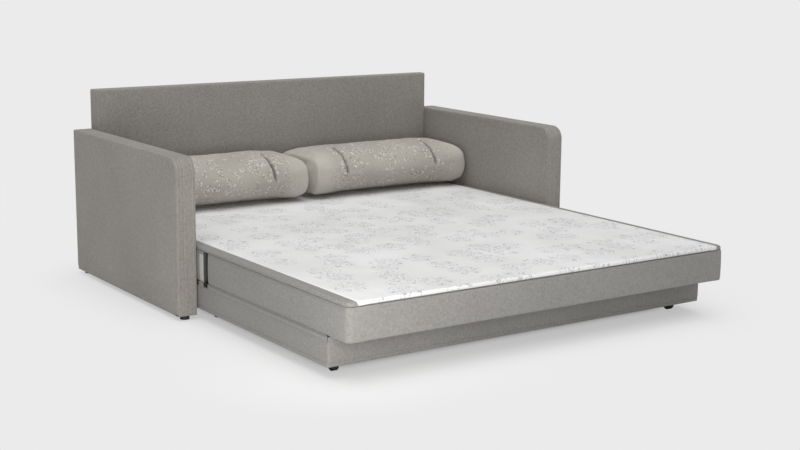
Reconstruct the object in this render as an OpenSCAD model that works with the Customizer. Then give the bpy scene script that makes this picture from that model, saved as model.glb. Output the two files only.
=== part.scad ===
// Three-seat sofa bed, modelled open as a bed.
// Millimetres. X runs across the seat, the front faces -Y, Z is up and the floor is Z = 0.
// The origin is on the floor, below the middle of the open bed.

/* [Body] */
// Clear width between the two arms
seat_w = 1900; // [1500:10:2200]
// Thickness of an arm
arm_t = 90; // [84:1:140]
// Depth of an arm from front to rear
arm_depth = 1100; // [980:1:1200]
// Top of the arms above the floor
arm_h = 690; // [600:1:780]
// Radius of the rounded front top corner of an arm
arm_r = 60; // [30:1:90]
// Top of the back above the floor
back_h = 878; // [800:1:980]
// Thickness of the back
back_t = 56; // [54:1:80]
// Radius along the top edges of the back
back_r = 9; // [4:1:14]
// Clear height under the arms and the back
floor_gap = 18; // [14:1:36]

/* [Upholstery] */
// Thickness of the cover fabric
cover_t = 2; // [1:0.5:3]
// Padding on the two broad faces of an arm
side_pad = 6; // [4:1:10]
// Padding on the front and the top of arms and back
edge_pad = 12; // [8:1:16]
// Padding on the face of the back
back_pad = 13; // [8:1:14]
// Thickness of the hardboard panels
panel_t = 3; // [2:0.5:5]

/* [Timber] */
// Width of the posts and rails in arms and back
timber_w = 40; // [35:1:45]
// Posts in each arm
arm_posts = 5; // [4:1:7]
// Posts in the back
back_posts = 9; // [8:1:11]

/* [Mattress] */
// Thickness of each mattress half
mat_t = 152; // [120:1:165]
// Distance of the fold line in front of the arms
fold_reach = 72; // [60:1:100]
// Clearance beside the mattress and the base
mat_side_gap = 4; // [2:0.5:8]
// Clearance between the mattress and the back
mat_back_gap = 10; // [6:1:12]
// Width of the slot between the two halves, under the fold
fold_slot = 36; // [20:1:40]
// Thickness of the layer that runs across the fold
fold_lip = 26; // [22:1:34]
// Radius of the vertical corners
mat_r = 36; // [24:1:60]
// Radius of the top and bottom edges
mat_edge_r = 18; // [8:1:22]
// Width of the plain border round the quilted top
border_w = 26; // [22:1:40]
// Thickness of the quilted top panel
quilt_t = 14; // [10:1:18]
// Thickness of the mattress cover
mat_cover_t = 3; // [2:0.5:5]

/* [Deck] */
// Top of the slats above the floor
deck_z = 168; // [150:1:200]
// Width of a slat
slat_w = 60; // [45:1:65]
// Thickness of a slat
slat_t = 18; // [15:1:24]
// Spacing of the slats of one comb
slat_pitch = 190; // [170:1:200]
// Height of the crossbeam and the crossbar
beam_h = 58; // [45:1:62]
// Thickness of the sliding crossbar
bar_t = 18; // [15:1:20]
// Thickness of the ledgers that carry the slat ends
ledger_t = 18; // [15:1:18]
// Height of the ledgers
ledger_h = 40; // [30:1:50]
// Width of the side rails screwed to the arms
side_rail_w = 30; // [24:1:34]
// Width of a crossbeam leg
leg_w = 45; // [35:1:60]
// Thickness of the foot under a crossbeam leg
leg_foot_t = 4; // [3:1:6]

/* [Base] */
// Distance of the base front behind the mattress front
base_setback = 138; // [125:1:160]
// Clear height under the base
base_floor_gap = 46; // [36:1:48]
// Thickness of the front board
front_board_t = 18; // [15:1:20]
// Thickness of the side boards
side_board_t = 16; // [15:1:19]
// Padding on the base front
base_pad = 6; // [4:1:8]
// Diameter of a roller
roller_d = 50; // [44:1:50]
// Width of a roller
roller_w = 22; // [18:1:26]
// Diameter of a roller axle
axle_d = 8; // [6:0.5:10]

/* [Back cushions] */
// Clearance at each end of a cushion
cushion_gap = 4; // [2:1:60]
// Depth of a cushion as it lies
cushion_d = 420; // [320:1:470]
// Height of a cushion as it lies
cushion_h = 246; // [170:1:270]
// Distance of the two tucks from the middle of a cushion
tuck_x = 276; // [200:1:340]
// Depth of a tuck
tuck_depth = 13; // [6:1:18]

/* [Fixings] */
// Diameter of the bolts between arms and back
bolt_d = 8; // [6:1:10]
// Diameter of the slat screws
screw_d = 4; // [3.5:0.5:5]
// Diameter of the plastic glides under arms and back
glide_d = 40; // [30:1:46]

/* [Hidden] */

FABRIC = "#8d8a84";
FABRIC_PALE = "#a3a09a";
QUILT = "#dedcd6";
CUSHION = "#aaa69b";
PINE = "#c9a877";
PLY = "#b79766";
HARDBOARD = "#7d5a3c";
FOAM = "#e6dfc4";
STEEL = "#9a9da0";
BLACK = "#26262a";

// How far a cut reaches past the face that it opens
over = 1;

// Small clearances
soft_gap = 0.3;
slide_gap = 1;
fold_gap = 0.3;
base_deck_gap = 2;
run_gap = 0.05;

// Places from front to rear
half_len = arm_depth + fold_reach - back_t - mat_back_gap;
open_depth = arm_depth + fold_reach + half_len;
y_rear = open_depth / 2;
y_arm = y_rear - arm_depth;
y_back = y_rear - back_t;
y_fold = y_arm - fold_reach;
y_mat_front = y_fold - half_len;
y_base_front = y_mat_front + base_setback;

// Travel that brings the base front flush with the folded mattress
base_travel = y_fold + fold_slot / 2 - y_base_front;

// Places across
seat_half = seat_w / 2;
cushion_l = seat_half - 2 * cushion_gap;
mat_half = seat_half - mat_side_gap;
base_board_half = mat_half - cover_t;
base_inner_half = base_board_half - side_board_t;

// Heights
deck_under = deck_z - slat_t;
mat_z = deck_z + soft_gap;
mat_top = mat_z + mat_t;
cushion_z = mat_top + soft_gap;

// Layers of an arm, counted inwards from its cover
arm_pad_in = cover_t + side_pad;
arm_panel_in = arm_pad_in + panel_t;
arm_edge_in = cover_t + edge_pad;
arm_rear_in = cover_t + panel_t;

// Layers of the back, from its face to the rear
y_back_pad = y_back + cover_t;
y_back_panel = y_back_pad + back_pad;
y_back_frame = y_back_panel + panel_t;
y_back_frame_end = y_rear - cover_t - panel_t;
back_top_in = cover_t + edge_pad;
// The padded face of the back ends a little above the slats, behind the mattress
back_face_gap = 4;
back_face_z = deck_z + back_face_gap;

// Deck and base timbers from front to rear
y_front_board = y_base_front + cover_t + base_pad;
y_base_ledger = y_front_board + front_board_t;
y_ledger_end = y_base_ledger + ledger_t;
y_beam = y_ledger_end + base_travel + slide_gap;
y_bar_end = y_back - base_travel - slide_gap;
y_bar = y_bar_end - bar_t;
beam_t = y_bar - slide_gap - y_beam;
base_cover_top = deck_under - base_deck_gap;
base_board_top = base_cover_top - cover_t;
beam_z = deck_under - beam_h;
guide_pad_t = 3;
beam_half = base_inner_half - soft_gap - guide_pad_t;
slat_end_y = y_back_frame;

// Roller blocks, brackets and rollers
block_len = 140;
block_w = 130;
roller_top_gap = 8;
block_z = roller_d + roller_top_gap;
block_top = beam_z - base_deck_gap;
roller_x = base_inner_half - block_w / 2;
roller_y_front = y_base_ledger + block_len / 2;
roller_y_rear = y_bar_end - block_len / 2;
bracket_t = 3;
bracket_len = 64;
bracket_side_gap = 1;
bracket_in_w = roller_w + 2 * bracket_side_gap;
bracket_edge = 4;
bracket_z = roller_d / 2 - axle_d / 2 - bracket_edge;
axle_head = 2;
axle_head_rim = 2;

// Fixings
screw_head_d = 2 * screw_d;
screw_head_t = 0.6 * screw_d;
screw_len = 34;
bolt_heights = [0.16, 0.42, 0.66];
bolt_y = (y_back_frame + y_back_frame_end) / 2;
bolt_head_d = 1.7 * bolt_d;
bolt_head_t = 0.65 * bolt_d;
washer_d = 2.4 * bolt_d;
washer_t = 1.6;
nut_d = 1.4 * bolt_d;
nut_len = 12;
bolt_end_gap = 4;
rail_screw_hold = 24;
bracket_screw_hold = 18;
rail_screw_y = [0.04, 0.27, 0.5, 0.73, 0.96];
leg_places = [-0.78, -0.26, 0.26, 0.78];
back_glide_places = [-0.6, 0, 0.6];
foot_inset = 2;
guide_pad_inset = 4;
glide_inset = 34;
glide_pin_d = 8;
glide_pin_h = 14;

function side_sign(side) = side == "left" ? -1 : 1;

// A box given by its low and high corners
module block(low, high) {
    translate(low) cube([high[0] - low[0], high[1] - low[1], high[2] - low[2]]);
}

// Draws its children, which are built on the right, on the named side
module on_side(side) {
    if (side == "left") mirror([1, 0, 0]) children();
    else children();
}

// Side view of an arm, drawn back from its cover by the given amounts
module arm_outline(front_in, top_in, rear_in) {
    least_r = 2;
    r = max(arm_r - front_in, least_r);
    y0 = y_arm + front_in;
    y1 = y_rear - rear_in;
    z1 = arm_h - top_in;
    translate([y0 + r, floor_gap]) square([y1 - y0 - r, z1 - floor_gap]);
    translate([y0, floor_gap]) square([r + over, z1 - floor_gap - r]);
    translate([y0 + r, z1 - r]) circle(r = r, $fn = 96);
}

// A slab of an arm between two distances from its inner face
module arm_slab(x0, x1, front_in, top_in, rear_in) {
    translate([seat_half + x0, 0, 0])
        rotate([90, 0, 90])
            linear_extrude(height = x1 - x0) arm_outline(front_in, top_in, rear_in);
}

// Holes for the bolts into the back, from one distance inside the arm to another
module arm_bolt_holes(x0, x1) {
    for (share = bolt_heights)
        translate([seat_half + x0, bolt_y, share * arm_h])
            rotate([0, 90, 0]) cylinder(h = x1 - x0, d = bolt_d, $fn = 32);
}

// Places of the screws that hold a side rail
function rail_screw_at(share) = y_arm + arm_edge_in + share * (slat_end_y - y_arm - arm_edge_in);

// Holes for the side rail screws, from one distance inside the arm to another
module rail_screw_holes(x0, x1) {
    for (share = rail_screw_y)
        translate([seat_half + x0, rail_screw_at(share), deck_z - slat_t / 2])
            rotate([0, 90, 0]) cylinder(h = x1 - x0, d = screw_d, $fn = 24);
}

module arm_frame(side) {
    y0 = y_arm + arm_edge_in;
    y1 = y_rear - arm_rear_in;
    z1 = arm_h - arm_edge_in;
    x0 = arm_panel_in;
    x1 = arm_t - arm_panel_in;
    deck_rail_z = deck_z - slat_t / 2 - timber_w / 2;
    mid_rail_z = (deck_rail_z + z1) / 2 - timber_w / 2;
    color(PINE) on_side(side) difference() {
        intersection() {
            arm_slab(x0, x1, arm_edge_in, arm_edge_in, arm_rear_in);
            translate([seat_half, 0, 0]) union() {
                for (i = [0 : arm_posts - 1]) {
                    y = y0 + i * (y1 - y0 - timber_w) / (arm_posts - 1);
                    block([x0, y, floor_gap], [x1, y + timber_w, z1]);
                }
                for (z = [floor_gap, deck_rail_z, mid_rail_z, z1 - timber_w])
                    block([x0, y0, z], [x1, y1, z + timber_w]);
            }
        }
        arm_bolt_holes(x0 - over, x0 + timber_w + nut_len + bolt_end_gap);
        for (share = bolt_heights)
            translate([seat_half + x0 + timber_w - nut_len, bolt_y, share * arm_h])
                rotate([0, 90, 0]) cylinder(h = nut_len + timber_w, d = nut_d, $fn = 32);
        rail_screw_holes(x0 - over, x0 + rail_screw_hold + over);
        for (y = [y_arm + glide_inset, y_rear - glide_inset])
            translate([seat_half + arm_t / 2, y, floor_gap - over])
                cylinder(h = glide_pin_h + over, d = glide_pin_d, $fn = 24);
    }
}

module arm_panel(side, x0) {
    color(HARDBOARD) on_side(side) difference() {
        arm_slab(x0, x0 + panel_t, arm_edge_in, arm_edge_in, arm_rear_in);
        if (x0 < arm_t / 2) {
            arm_bolt_holes(x0 - over, x0 + panel_t + over);
            rail_screw_holes(x0 - over, x0 + panel_t + over);
        }
    }
}

module arm_padding(side) {
    color(FOAM) on_side(side) difference() {
        arm_slab(cover_t, arm_t - cover_t, cover_t, cover_t, cover_t);
        difference() {
            arm_slab(arm_pad_in, arm_t - arm_pad_in, arm_edge_in, arm_edge_in, cover_t);
            block([seat_half, y_rear - arm_rear_in, 0], [seat_half + arm_t, y_rear, arm_h]);
        }
        block([seat_half, y_arm, floor_gap - over], [seat_half + arm_t, y_rear, floor_gap]);
        arm_bolt_holes(cover_t - over, arm_pad_in + over);
        rail_screw_holes(cover_t - over, arm_pad_in + over);
    }
}

module arm_cover(side) {
    color(FABRIC) on_side(side) difference() {
        arm_slab(0, arm_t, 0, 0, 0);
        translate([0, 0, -over])
            arm_slab(cover_t, arm_t - cover_t, cover_t, cover_t - over, cover_t);
        arm_bolt_holes(-over, cover_t + over);
        rail_screw_holes(-over, cover_t + over);
    }
}

module glide(x, y, head_h) {
    translate([x, y, 0]) {
        cylinder(h = head_h, d = glide_d, $fn = 48);
        cylinder(h = head_h + glide_pin_h - over, d = glide_pin_d, $fn = 24);
    }
}

module arm_glides() {
    color(BLACK)
        for (s = [-1, 1], y = [y_arm + glide_inset, y_rear - glide_inset])
            glide(s * (seat_half + arm_t / 2), y, floor_gap);
}

// The body of the back as a bar across, drawn back from its cover by the given amounts
module back_bar(half, y0, y1, z0, z1, r) {
    translate([-half, 0, 0]) rotate([90, 0, 90]) linear_extrude(height = 2 * half) {
        translate([y0, z0]) square([y1 - y0, z1 - z0 - r]);
        translate([y0 + r, z0]) square([y1 - y0 - 2 * r, z1 - z0]);
        for (y = [y0 + r, y1 - r]) translate([y, z1 - r]) circle(r = r, $fn = 48);
    }
}

module back_bolt_holes(d, x0, x1) {
    for (share = bolt_heights)
        translate([x0, bolt_y, share * arm_h]) rotate([0, 90, 0]) cylinder(h = x1 - x0, d = d, $fn = 32);
}

module back_frame() {
    half = seat_half - cover_t;
    z1 = back_h - back_top_in;
    ledger_rail_z = deck_under - timber_w;
    mid = (z1 - timber_w - deck_under) / 3;
    y_mid = (y_back_frame + y_back_frame_end) / 2;
    color(PINE) difference() {
        union() {
            for (i = [0 : back_posts - 1]) {
                x = -half + i * (2 * half - timber_w) / (back_posts - 1);
                block([x, y_back_frame, floor_gap], [x + timber_w, y_back_frame_end, z1]);
            }
            for (z = [floor_gap, ledger_rail_z, deck_under + mid - timber_w / 2,
                      deck_under + 2 * mid - timber_w / 2, z1 - timber_w])
                block([-half, y_back_frame, z], [half, y_back_frame_end, z + timber_w]);
        }
        for (side = ["left", "right"]) on_side(side) {
            back_bolt_holes(bolt_d, half - timber_w - over, half + over);
            back_bolt_holes(washer_d, half - timber_w - over,
                            half - timber_w + bolt_head_t + washer_t);
        }
        for (share = back_glide_places)
            translate([share * seat_half, y_mid, floor_gap - over])
                cylinder(h = glide_pin_h + over, d = glide_pin_d, $fn = 24);
    }
}

module back_front_panel() {
    color(HARDBOARD)
        block([-seat_half + cover_t, y_back_panel, back_face_z + cover_t],
              [seat_half - cover_t, y_back_frame, back_h - back_top_in]);
}

module back_rear_panel() {
    color(HARDBOARD)
        block([-seat_half + cover_t, y_back_frame_end, floor_gap],
              [seat_half - cover_t, y_rear - cover_t, back_h - back_top_in]);
}

module back_padding() {
    half = seat_half - cover_t;
    color(FOAM) difference() {
        back_bar(half, y_back_pad, y_rear - cover_t, back_face_z + cover_t, back_h - cover_t,
                 back_r - cover_t);
        block([-half - over, y_back_panel, back_face_z],
              [half + over, y_rear, back_h - back_top_in]);
    }
}

module back_cover() {
    half = seat_half;
    color(FABRIC) difference() {
        back_bar(half, y_back, y_rear, floor_gap, back_h, back_r);
        back_bar(half - cover_t, y_back_pad, y_rear - cover_t, back_face_z + cover_t,
                 back_h - cover_t, back_r - cover_t);
        block([-half + cover_t, y_back_frame, floor_gap - over],
              [half - cover_t, y_rear - cover_t, back_face_z + cover_t + over]);
        block([-half - over, y_back - over, floor_gap - over],
              [half + over, y_back_frame, back_face_z]);
        for (side = ["left", "right"])
            on_side(side) back_bolt_holes(bolt_d, half - cover_t - over, half + over);
    }
}

module back_glides() {
    color(BLACK)
        for (share = back_glide_places)
            glide(share * seat_half, (y_back_frame + y_back_frame_end) / 2, floor_gap);
}

module arm_bolts() {
    x_head = seat_half - cover_t - timber_w + washer_t;
    bolt_len = timber_w + cover_t + arm_panel_in + timber_w - washer_t;
    color(STEEL)
        for (side = ["left", "right"]) on_side(side)
            for (share = bolt_heights)
                translate([x_head, bolt_y, share * arm_h]) rotate([0, 90, 0]) {
                    translate([0, 0, bolt_head_t - washer_t])
                        cylinder(h = washer_t, d = washer_d, $fn = 32);
                    translate([0, 0, -washer_t]) cylinder(h = bolt_head_t, d = bolt_head_d, $fn = 6);
                    cylinder(h = bolt_len, d = bolt_d, $fn = 32);
                }
}

module arm_bolt_nuts() {
    x_nut = seat_half + arm_panel_in + timber_w - nut_len;
    color(STEEL)
        for (side = ["left", "right"]) on_side(side)
            for (share = bolt_heights)
                translate([x_nut, bolt_y, share * arm_h]) rotate([0, 90, 0]) difference() {
                    cylinder(h = nut_len, d = nut_d, $fn = 32);
                    translate([0, 0, -over]) cylinder(h = nut_len + 2 * over, d = bolt_d, $fn = 32);
                }
}

// A screw with its head at the origin, pointing down
module screw(length) {
    translate([0, 0, -screw_head_t]) cylinder(h = screw_head_t, d = screw_head_d, $fn = 24);
    translate([0, 0, -length]) cylinder(h = length, d = screw_d, $fn = 24);
}

// Slats that slide out with the base, an even count that fills the seat
moving_slats = 2 * floor(seat_w / slat_pitch / 2);
function fixed_slat_x() = [for (i = [1 : moving_slats - 1]) (i - moving_slats / 2) * slat_pitch];
function moving_slat_x() = [for (i = [0 : moving_slats - 1]) (i - (moving_slats - 1) / 2) * slat_pitch];

// Screws through the ends of the slats
module slat_screws(places, y_pair) {
    for (x = places, y = y_pair) translate([x, y, deck_z]) screw(screw_len);
}

fixed_screw_y = [y_beam + beam_t / 2, y_back_frame - ledger_t / 2];
moving_screw_y = [y_base_ledger + ledger_t / 2, y_bar + bar_t / 2];

module slat_comb(places, y0, y1, y_screws) {
    difference() {
        for (x = places) block([x - slat_w / 2, y0, deck_under], [x + slat_w / 2, y1, deck_z]);
        slat_screws(places, y_screws);
    }
}

module rear_ledger() {
    color(PINE) difference() {
        block([-base_inner_half, y_back_frame - ledger_t, deck_under - ledger_h],
              [base_inner_half, y_back_frame, deck_under]);
        slat_screws(fixed_slat_x(), fixed_screw_y);
    }
}

module side_rail(side) {
    x0 = seat_half - side_rail_w;
    color(PINE) on_side(side) difference() {
        block([x0, y_beam, deck_under], [seat_half, slat_end_y, deck_z]);
        rail_screw_holes(-side_rail_w - over, over);
        for (share = rail_screw_y)
            translate([x0 - over, rail_screw_at(share), deck_z - slat_t / 2])
                rotate([0, 90, 0]) cylinder(h = over + screw_head_t, d = screw_head_d, $fn = 24);
    }
}

module side_rail_screws() {
    color(STEEL)
        for (side = ["left", "right"]) on_side(side)
            for (share = rail_screw_y)
                translate([seat_half - side_rail_w, rail_screw_at(share), deck_z - slat_t / 2])
                    rotate([0, -90, 0]) screw(side_rail_w + arm_panel_in + rail_screw_hold);
}

module crossbeam() {
    color(PINE) difference() {
        block([-beam_half, y_beam, beam_z], [beam_half, y_beam + beam_t, deck_under]);
        slat_screws(fixed_slat_x(), fixed_screw_y);
    }
}

module crossbeam_legs() {
    color(PINE)
        for (share = leg_places)
            block([share * beam_half - leg_w / 2, y_beam, leg_foot_t],
                  [share * beam_half + leg_w / 2, y_beam + beam_t, beam_z]);
}

module crossbeam_feet() {
    color(BLACK)
        for (share = leg_places)
            translate([share * beam_half, y_beam + beam_t / 2, 0])
                cylinder(h = leg_foot_t, d = min(beam_t, leg_w) - 2 * foot_inset, $fn = 32);
}

module guide_pads() {
    color(BLACK)
        for (s = [-1, 1])
            translate([s * (beam_half + guide_pad_t / 2), y_beam + beam_t / 2,
                       (beam_z + deck_under) / 2])
                cube([guide_pad_t, beam_t, beam_h - 2 * guide_pad_inset], center = true);
}

module fixed_slats() {
    color(PLY) slat_comb(fixed_slat_x(), y_beam, slat_end_y, fixed_screw_y);
}

module fixed_slat_screws() {
    color(STEEL) slat_screws(fixed_slat_x(), fixed_screw_y);
}

// Quarter round of one corner, turned about its own upright axis
module corner_round(r, edge_r, z_sign) {
    arc = [for (a = [0 : 18 : 90]) [r - edge_r + edge_r * sin(a), z_sign * edge_r * cos(a)]];
    rotate_extrude($fn = 32)
        polygon(concat([[0, 0], [0, z_sign * edge_r]], arc));
}

// An upholstered block with round upright corners and round top and bottom edges
module soft_block(low, high, r_front, r_rear, edge_r) {
    hull() {
        for (x = [low[0], high[0]], front = [0, 1], z = [low[2], high[2]]) {
            r = front == 1 ? r_front : r_rear;
            y = front == 1 ? low[1] + r : high[1] - r;
            sx = x == low[0] ? 1 : -1;
            sz = z == low[2] ? 1 : -1;
            translate([x + sx * r, y, z + sz * edge_r]) corner_round(r, edge_r, -sz);
        }
    }
}

// Front and rear limits of a mattress half without its lip, and where its lip ends
function half_y0(part) = part == "front" ? y_mat_front : y_fold + fold_slot / 2;
function half_y1(part) = part == "front" ? y_fold - fold_slot / 2 : y_back - mat_back_gap;
function lip_y0(part) = part == "front" ? y_fold - fold_slot / 2 - mat_edge_r : y_fold + fold_gap / 2;
function lip_y1(part) = part == "front" ? y_fold - fold_gap / 2 : y_fold + fold_slot / 2 + mat_edge_r;
function panel_y0(part) = part == "front" ? y_mat_front + border_w : y_fold + fold_gap / 2;
function panel_y1(part) = part == "front" ? y_fold - fold_gap / 2 : half_y1("rear") - border_w;

mat_rear_extra = 8;
mat_corner_rear = mat_rear_extra + mat_edge_r;

// The quilted top panel lies in a shallow pocket of the cover
module quilt_panel(part) {
    half = mat_half - border_w;
    r = mat_r - border_w / 2;
    y0 = panel_y0(part);
    y1 = panel_y1(part);
    y_round = part == "front" ? y0 + r : y1 - r;
    y_square = part == "front" ? y1 : y0;
    translate([0, 0, mat_top - quilt_t]) linear_extrude(height = quilt_t) {
        translate([-half, min(y_round, y_square)]) square([2 * half, abs(y_square - y_round)]);
        translate([-half + r, y0]) square([2 * half - 2 * r, y1 - y0]);
        for (s = [-1, 1]) translate([s * (half - r), y_round]) circle(r = r, $fn = 48);
    }
}

module mattress_core_shape(part) {
    block([-mat_half + mat_edge_r, half_y0(part) + mat_edge_r, mat_z + mat_cover_t],
          [mat_half - mat_edge_r, half_y1(part) - mat_edge_r, mat_top - quilt_t]);
}

module mattress_core(part) {
    color(FOAM) mattress_core_shape(part);
}

module mattress_cover(part) {
    front_r = part == "front" ? mat_r : mat_corner_rear;
    color(FABRIC_PALE) difference() {
        union() {
            soft_block([-mat_half, half_y0(part), mat_z], [mat_half, half_y1(part), mat_top],
                       front_r, mat_corner_rear, mat_edge_r);
            block([-mat_half, lip_y0(part), mat_top - fold_lip], [mat_half, lip_y1(part), mat_top]);
        }
        mattress_core_shape(part);
        quilt_panel(part);
    }
}

module mattress_quilt(part) {
    color(QUILT) quilt_panel(part);
}

module base_front_board() {
    color(PINE)
        block([-base_board_half, y_front_board, base_floor_gap],
              [base_board_half, y_base_ledger, base_board_top]);
}

module base_side_board(side) {
    color(PINE) on_side(side)
        block([base_inner_half, y_base_ledger, base_floor_gap],
              [base_board_half, y_bar_end, base_board_top]);
}

module base_crossbar() {
    color(PINE) difference() {
        block([-base_inner_half, y_bar, beam_z - base_deck_gap],
              [base_inner_half, y_bar_end, deck_under]);
        slat_screws(moving_slat_x(), moving_screw_y);
    }
}

module base_ledger() {
    color(PINE) difference() {
        block([-base_inner_half, y_base_ledger, deck_under - ledger_h],
              [base_inner_half, y_ledger_end, deck_under]);
        slat_screws(moving_slat_x(), moving_screw_y);
    }
}

module base_front_padding() {
    color(FOAM)
        block([-base_board_half, y_front_board - base_pad, base_floor_gap],
              [base_board_half, y_front_board, base_board_top]);
}

module base_front_cover() {
    color(FABRIC_PALE) difference() {
        block([-mat_half, y_base_front, base_floor_gap], [mat_half, y_base_ledger, base_cover_top]);
        block([-base_board_half, y_base_front + cover_t, base_floor_gap - over],
              [base_board_half, y_base_ledger + over, base_board_top]);
    }
}

module base_side_cover(side) {
    color(FABRIC_PALE) on_side(side) difference() {
        block([base_inner_half, y_base_ledger, base_floor_gap], [mat_half, y_bar_end, base_cover_top]);
        block([base_inner_half - over, y_base_ledger - over, base_floor_gap - over],
              [base_board_half, y_bar_end + over, base_board_top]);
    }
}

module pull_out_slats() {
    color(PLY) slat_comb(moving_slat_x(), y_base_ledger, y_bar_end, moving_screw_y);
}

module pull_out_slat_screws() {
    color(STEEL) slat_screws(moving_slat_x(), moving_screw_y);
}

// Draws its children at each of the four rollers
module at_rollers() {
    for (sx = [-1, 1], y = [roller_y_front, roller_y_rear])
        translate([sx * roller_x, y, 0]) children();
}

bracket_screw_side = 8;
bracket_screw_edge = 6;
bracket_screw_x = bracket_in_w / 2 + bracket_t + bracket_screw_side;
bracket_plate_w = 2 * (bracket_screw_x + bracket_screw_edge);

module bracket_screw_row() {
    for (sx = [-1, 1], sy = [-1, 1])
        translate([sx * bracket_screw_x, sy * bracket_len / 3, block_z - bracket_t])
            rotate([180, 0, 0]) translate([0, 0, screw_head_t])
                screw(screw_head_t + bracket_t + bracket_screw_hold);
}

module roller_blocks() {
    color(PINE) at_rollers() difference() {
        block([-block_w / 2, -block_len / 2, block_z], [block_w / 2, block_len / 2, block_top]);
        bracket_screw_row();
    }
}

module roller_brackets() {
    color(STEEL) at_rollers() difference() {
        union() {
            block([-bracket_plate_w / 2, -bracket_len / 2, block_z - bracket_t],
                  [bracket_plate_w / 2, bracket_len / 2, block_z]);
            for (s = [-1, 1])
                translate([s * (bracket_in_w + bracket_t) / 2, 0, (bracket_z + block_z - over) / 2])
                    cube([bracket_t, bracket_len / 2, block_z - bracket_z - over], center = true);
        }
        bracket_screw_row();
        translate([-bracket_in_w, 0, roller_d / 2]) rotate([0, 90, 0])
            cylinder(h = 2 * bracket_in_w, d = axle_d, $fn = 32);
    }
}

module bracket_screws() {
    color(STEEL) at_rollers() bracket_screw_row();
}

module roller_axles() {
    half = bracket_in_w / 2 + bracket_t;
    color(STEEL) at_rollers() translate([0, 0, roller_d / 2]) rotate([0, 90, 0]) {
        translate([0, 0, -half]) cylinder(h = 2 * half, d = axle_d, $fn = 32);
        for (z = [-half - axle_head, half])
            translate([0, 0, z])
                cylinder(h = axle_head, d = axle_d + 2 * axle_head_rim, $fn = 32);
    }
}

module roller(sx, y) {
    r = roller_d / 2;
    tread = 3;
    rim = 1;
    hub_wall = 2;
    hub_r = axle_d + hub_wall;
    color(BLACK) translate([sx * roller_x, y, r]) rotate([0, 90, 0])
        rotate_extrude($fn = 64) polygon([
            [axle_d / 2 + run_gap, -roller_w / 2], [axle_d, -roller_w / 2],
            [hub_r, -roller_w / 4], [r - 2 * tread, -roller_w / 4],
            [r - tread, -roller_w / 2], [r - rim, -roller_w / 2], [r, -roller_w / 2 + rim],
            [r, roller_w / 2 - rim], [r - rim, roller_w / 2], [r - tread, roller_w / 2],
            [r - 2 * tread, roller_w / 4], [hub_r, roller_w / 4],
            [axle_d, roller_w / 2], [axle_d / 2 + run_gap, roller_w / 2]
        ]);
}

// A back cushion, as a grid of rows along its length wrapped round a seam

// Stations from -1 to 1 that crowd together towards both ends
function crowded(count) = [for (i = [0 : count]) sin(180 * i / count - 90)];
function near_tucks() = [for (s = [-1, 1], d = [-0.055, -0.028, 0, 0.028, 0.055])
    s * tuck_x / (cushion_l / 2) + d];
function clear_of_tucks(list) = [for (u = list)
    if (min([for (t = near_tucks()) abs(u - t)]) > 0.02) u];
function sorted(list) = len(list) < 2 ? list : let (
    pivot = list[floor(len(list) / 2)],
    below = [for (v = list) if (v < pivot) v],
    above = [for (v = list) if (v > pivot) v]
) concat(sorted(below), [pivot], sorted(above));

stations_x = sorted(concat(clear_of_tucks(crowded(20)), near_tucks()));
stations_y = crowded(14);
cells_x = len(stations_x) - 1;
cells_y = len(stations_y) - 1;
// Height of the seam, how far the sides draw in and how round the corners are, as shares
cushion_seam = 0.47;
cushion_pull_x = 0.012;
cushion_pull_y = 0.05;
cushion_round_x = 0.06;
cushion_round_y = 0.17;
tuck_w = 0.026;
// How blunt the ends and the long sides are, and how fast they rise from the seam
cushion_blunt_x = 10;
cushion_blunt_y = 2.8;
cushion_rise_x = 0.4;
cushion_rise_y = 0.42;
// Least thickness at the seam
cushion_min_t = 1;
// How far the underside is pressed flat, and where a tuck runs, as shares
cushion_press = 1.12;
tuck_middle = -0.45;
tuck_half = 0.5;

// How full the cushion is at a place, 0 at the seam and 1 at its crown
function fullness(u, v) = pow(1 - pow(abs(u), cushion_blunt_x), cushion_rise_x)
    * pow(1 - pow(abs(v), cushion_blunt_y), cushion_rise_y);
// How deep a tuck cuts there, on the upper front of the cushion
function tuck_at(u, v) = let (
    near = min([for (s = [-1, 1]) abs(u - s * tuck_x / (cushion_l / 2))]),
    along = max(0, 1 - pow(abs(v - tuck_middle) / tuck_half, 2))
) tuck_depth * exp(-pow(near / tuck_w, 2)) * along;

function cushion_point(u, v, top) = let (
    x = u * cushion_l / 2 * (1 - cushion_pull_x * (1 - v * v) - cushion_round_x * pow(abs(v), 5)),
    y = v * cushion_d / 2 * (1 - cushion_pull_y * (1 - u * u) - cushion_round_y * pow(abs(u), 10)),
    seam_z = cushion_seam * cushion_h,
    full = fullness(u, v),
    up = seam_z + (cushion_h - seam_z) * full - tuck_at(u, v),
    down = max(0, seam_z * (1 - cushion_press * full))
) [x, y, top ? max(up, down + cushion_min_t) : down];

function on_seam(i, j) = i == 0 || i == cells_x || j == 0 || j == cells_y;
function top_index(i, j) = i * (cells_y + 1) + j;
function low_index(i, j) = on_seam(i, j) ? top_index(i, j)
    : (cells_x + 1) * (cells_y + 1) + (i - 1) * (cells_y - 1) + j - 1;

cushion_points = concat(
    [for (i = [0 : cells_x], j = [0 : cells_y])
        on_seam(i, j) ? let (p = cushion_point(stations_x[i], stations_y[j], false))
            [p[0], p[1], cushion_seam * cushion_h]
        : cushion_point(stations_x[i], stations_y[j], true)],
    [for (i = [1 : cells_x - 1], j = [1 : cells_y - 1])
        cushion_point(stations_x[i], stations_y[j], false)]
);
// The two triangles of a cell with corners a, b, c and d, cut from a to c or from b to d
function halves(a, b, c, d, cut_ac) = cut_ac ? [[a, b, c], [a, c, d]] : [[b, c, d], [b, d, a]];
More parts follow.
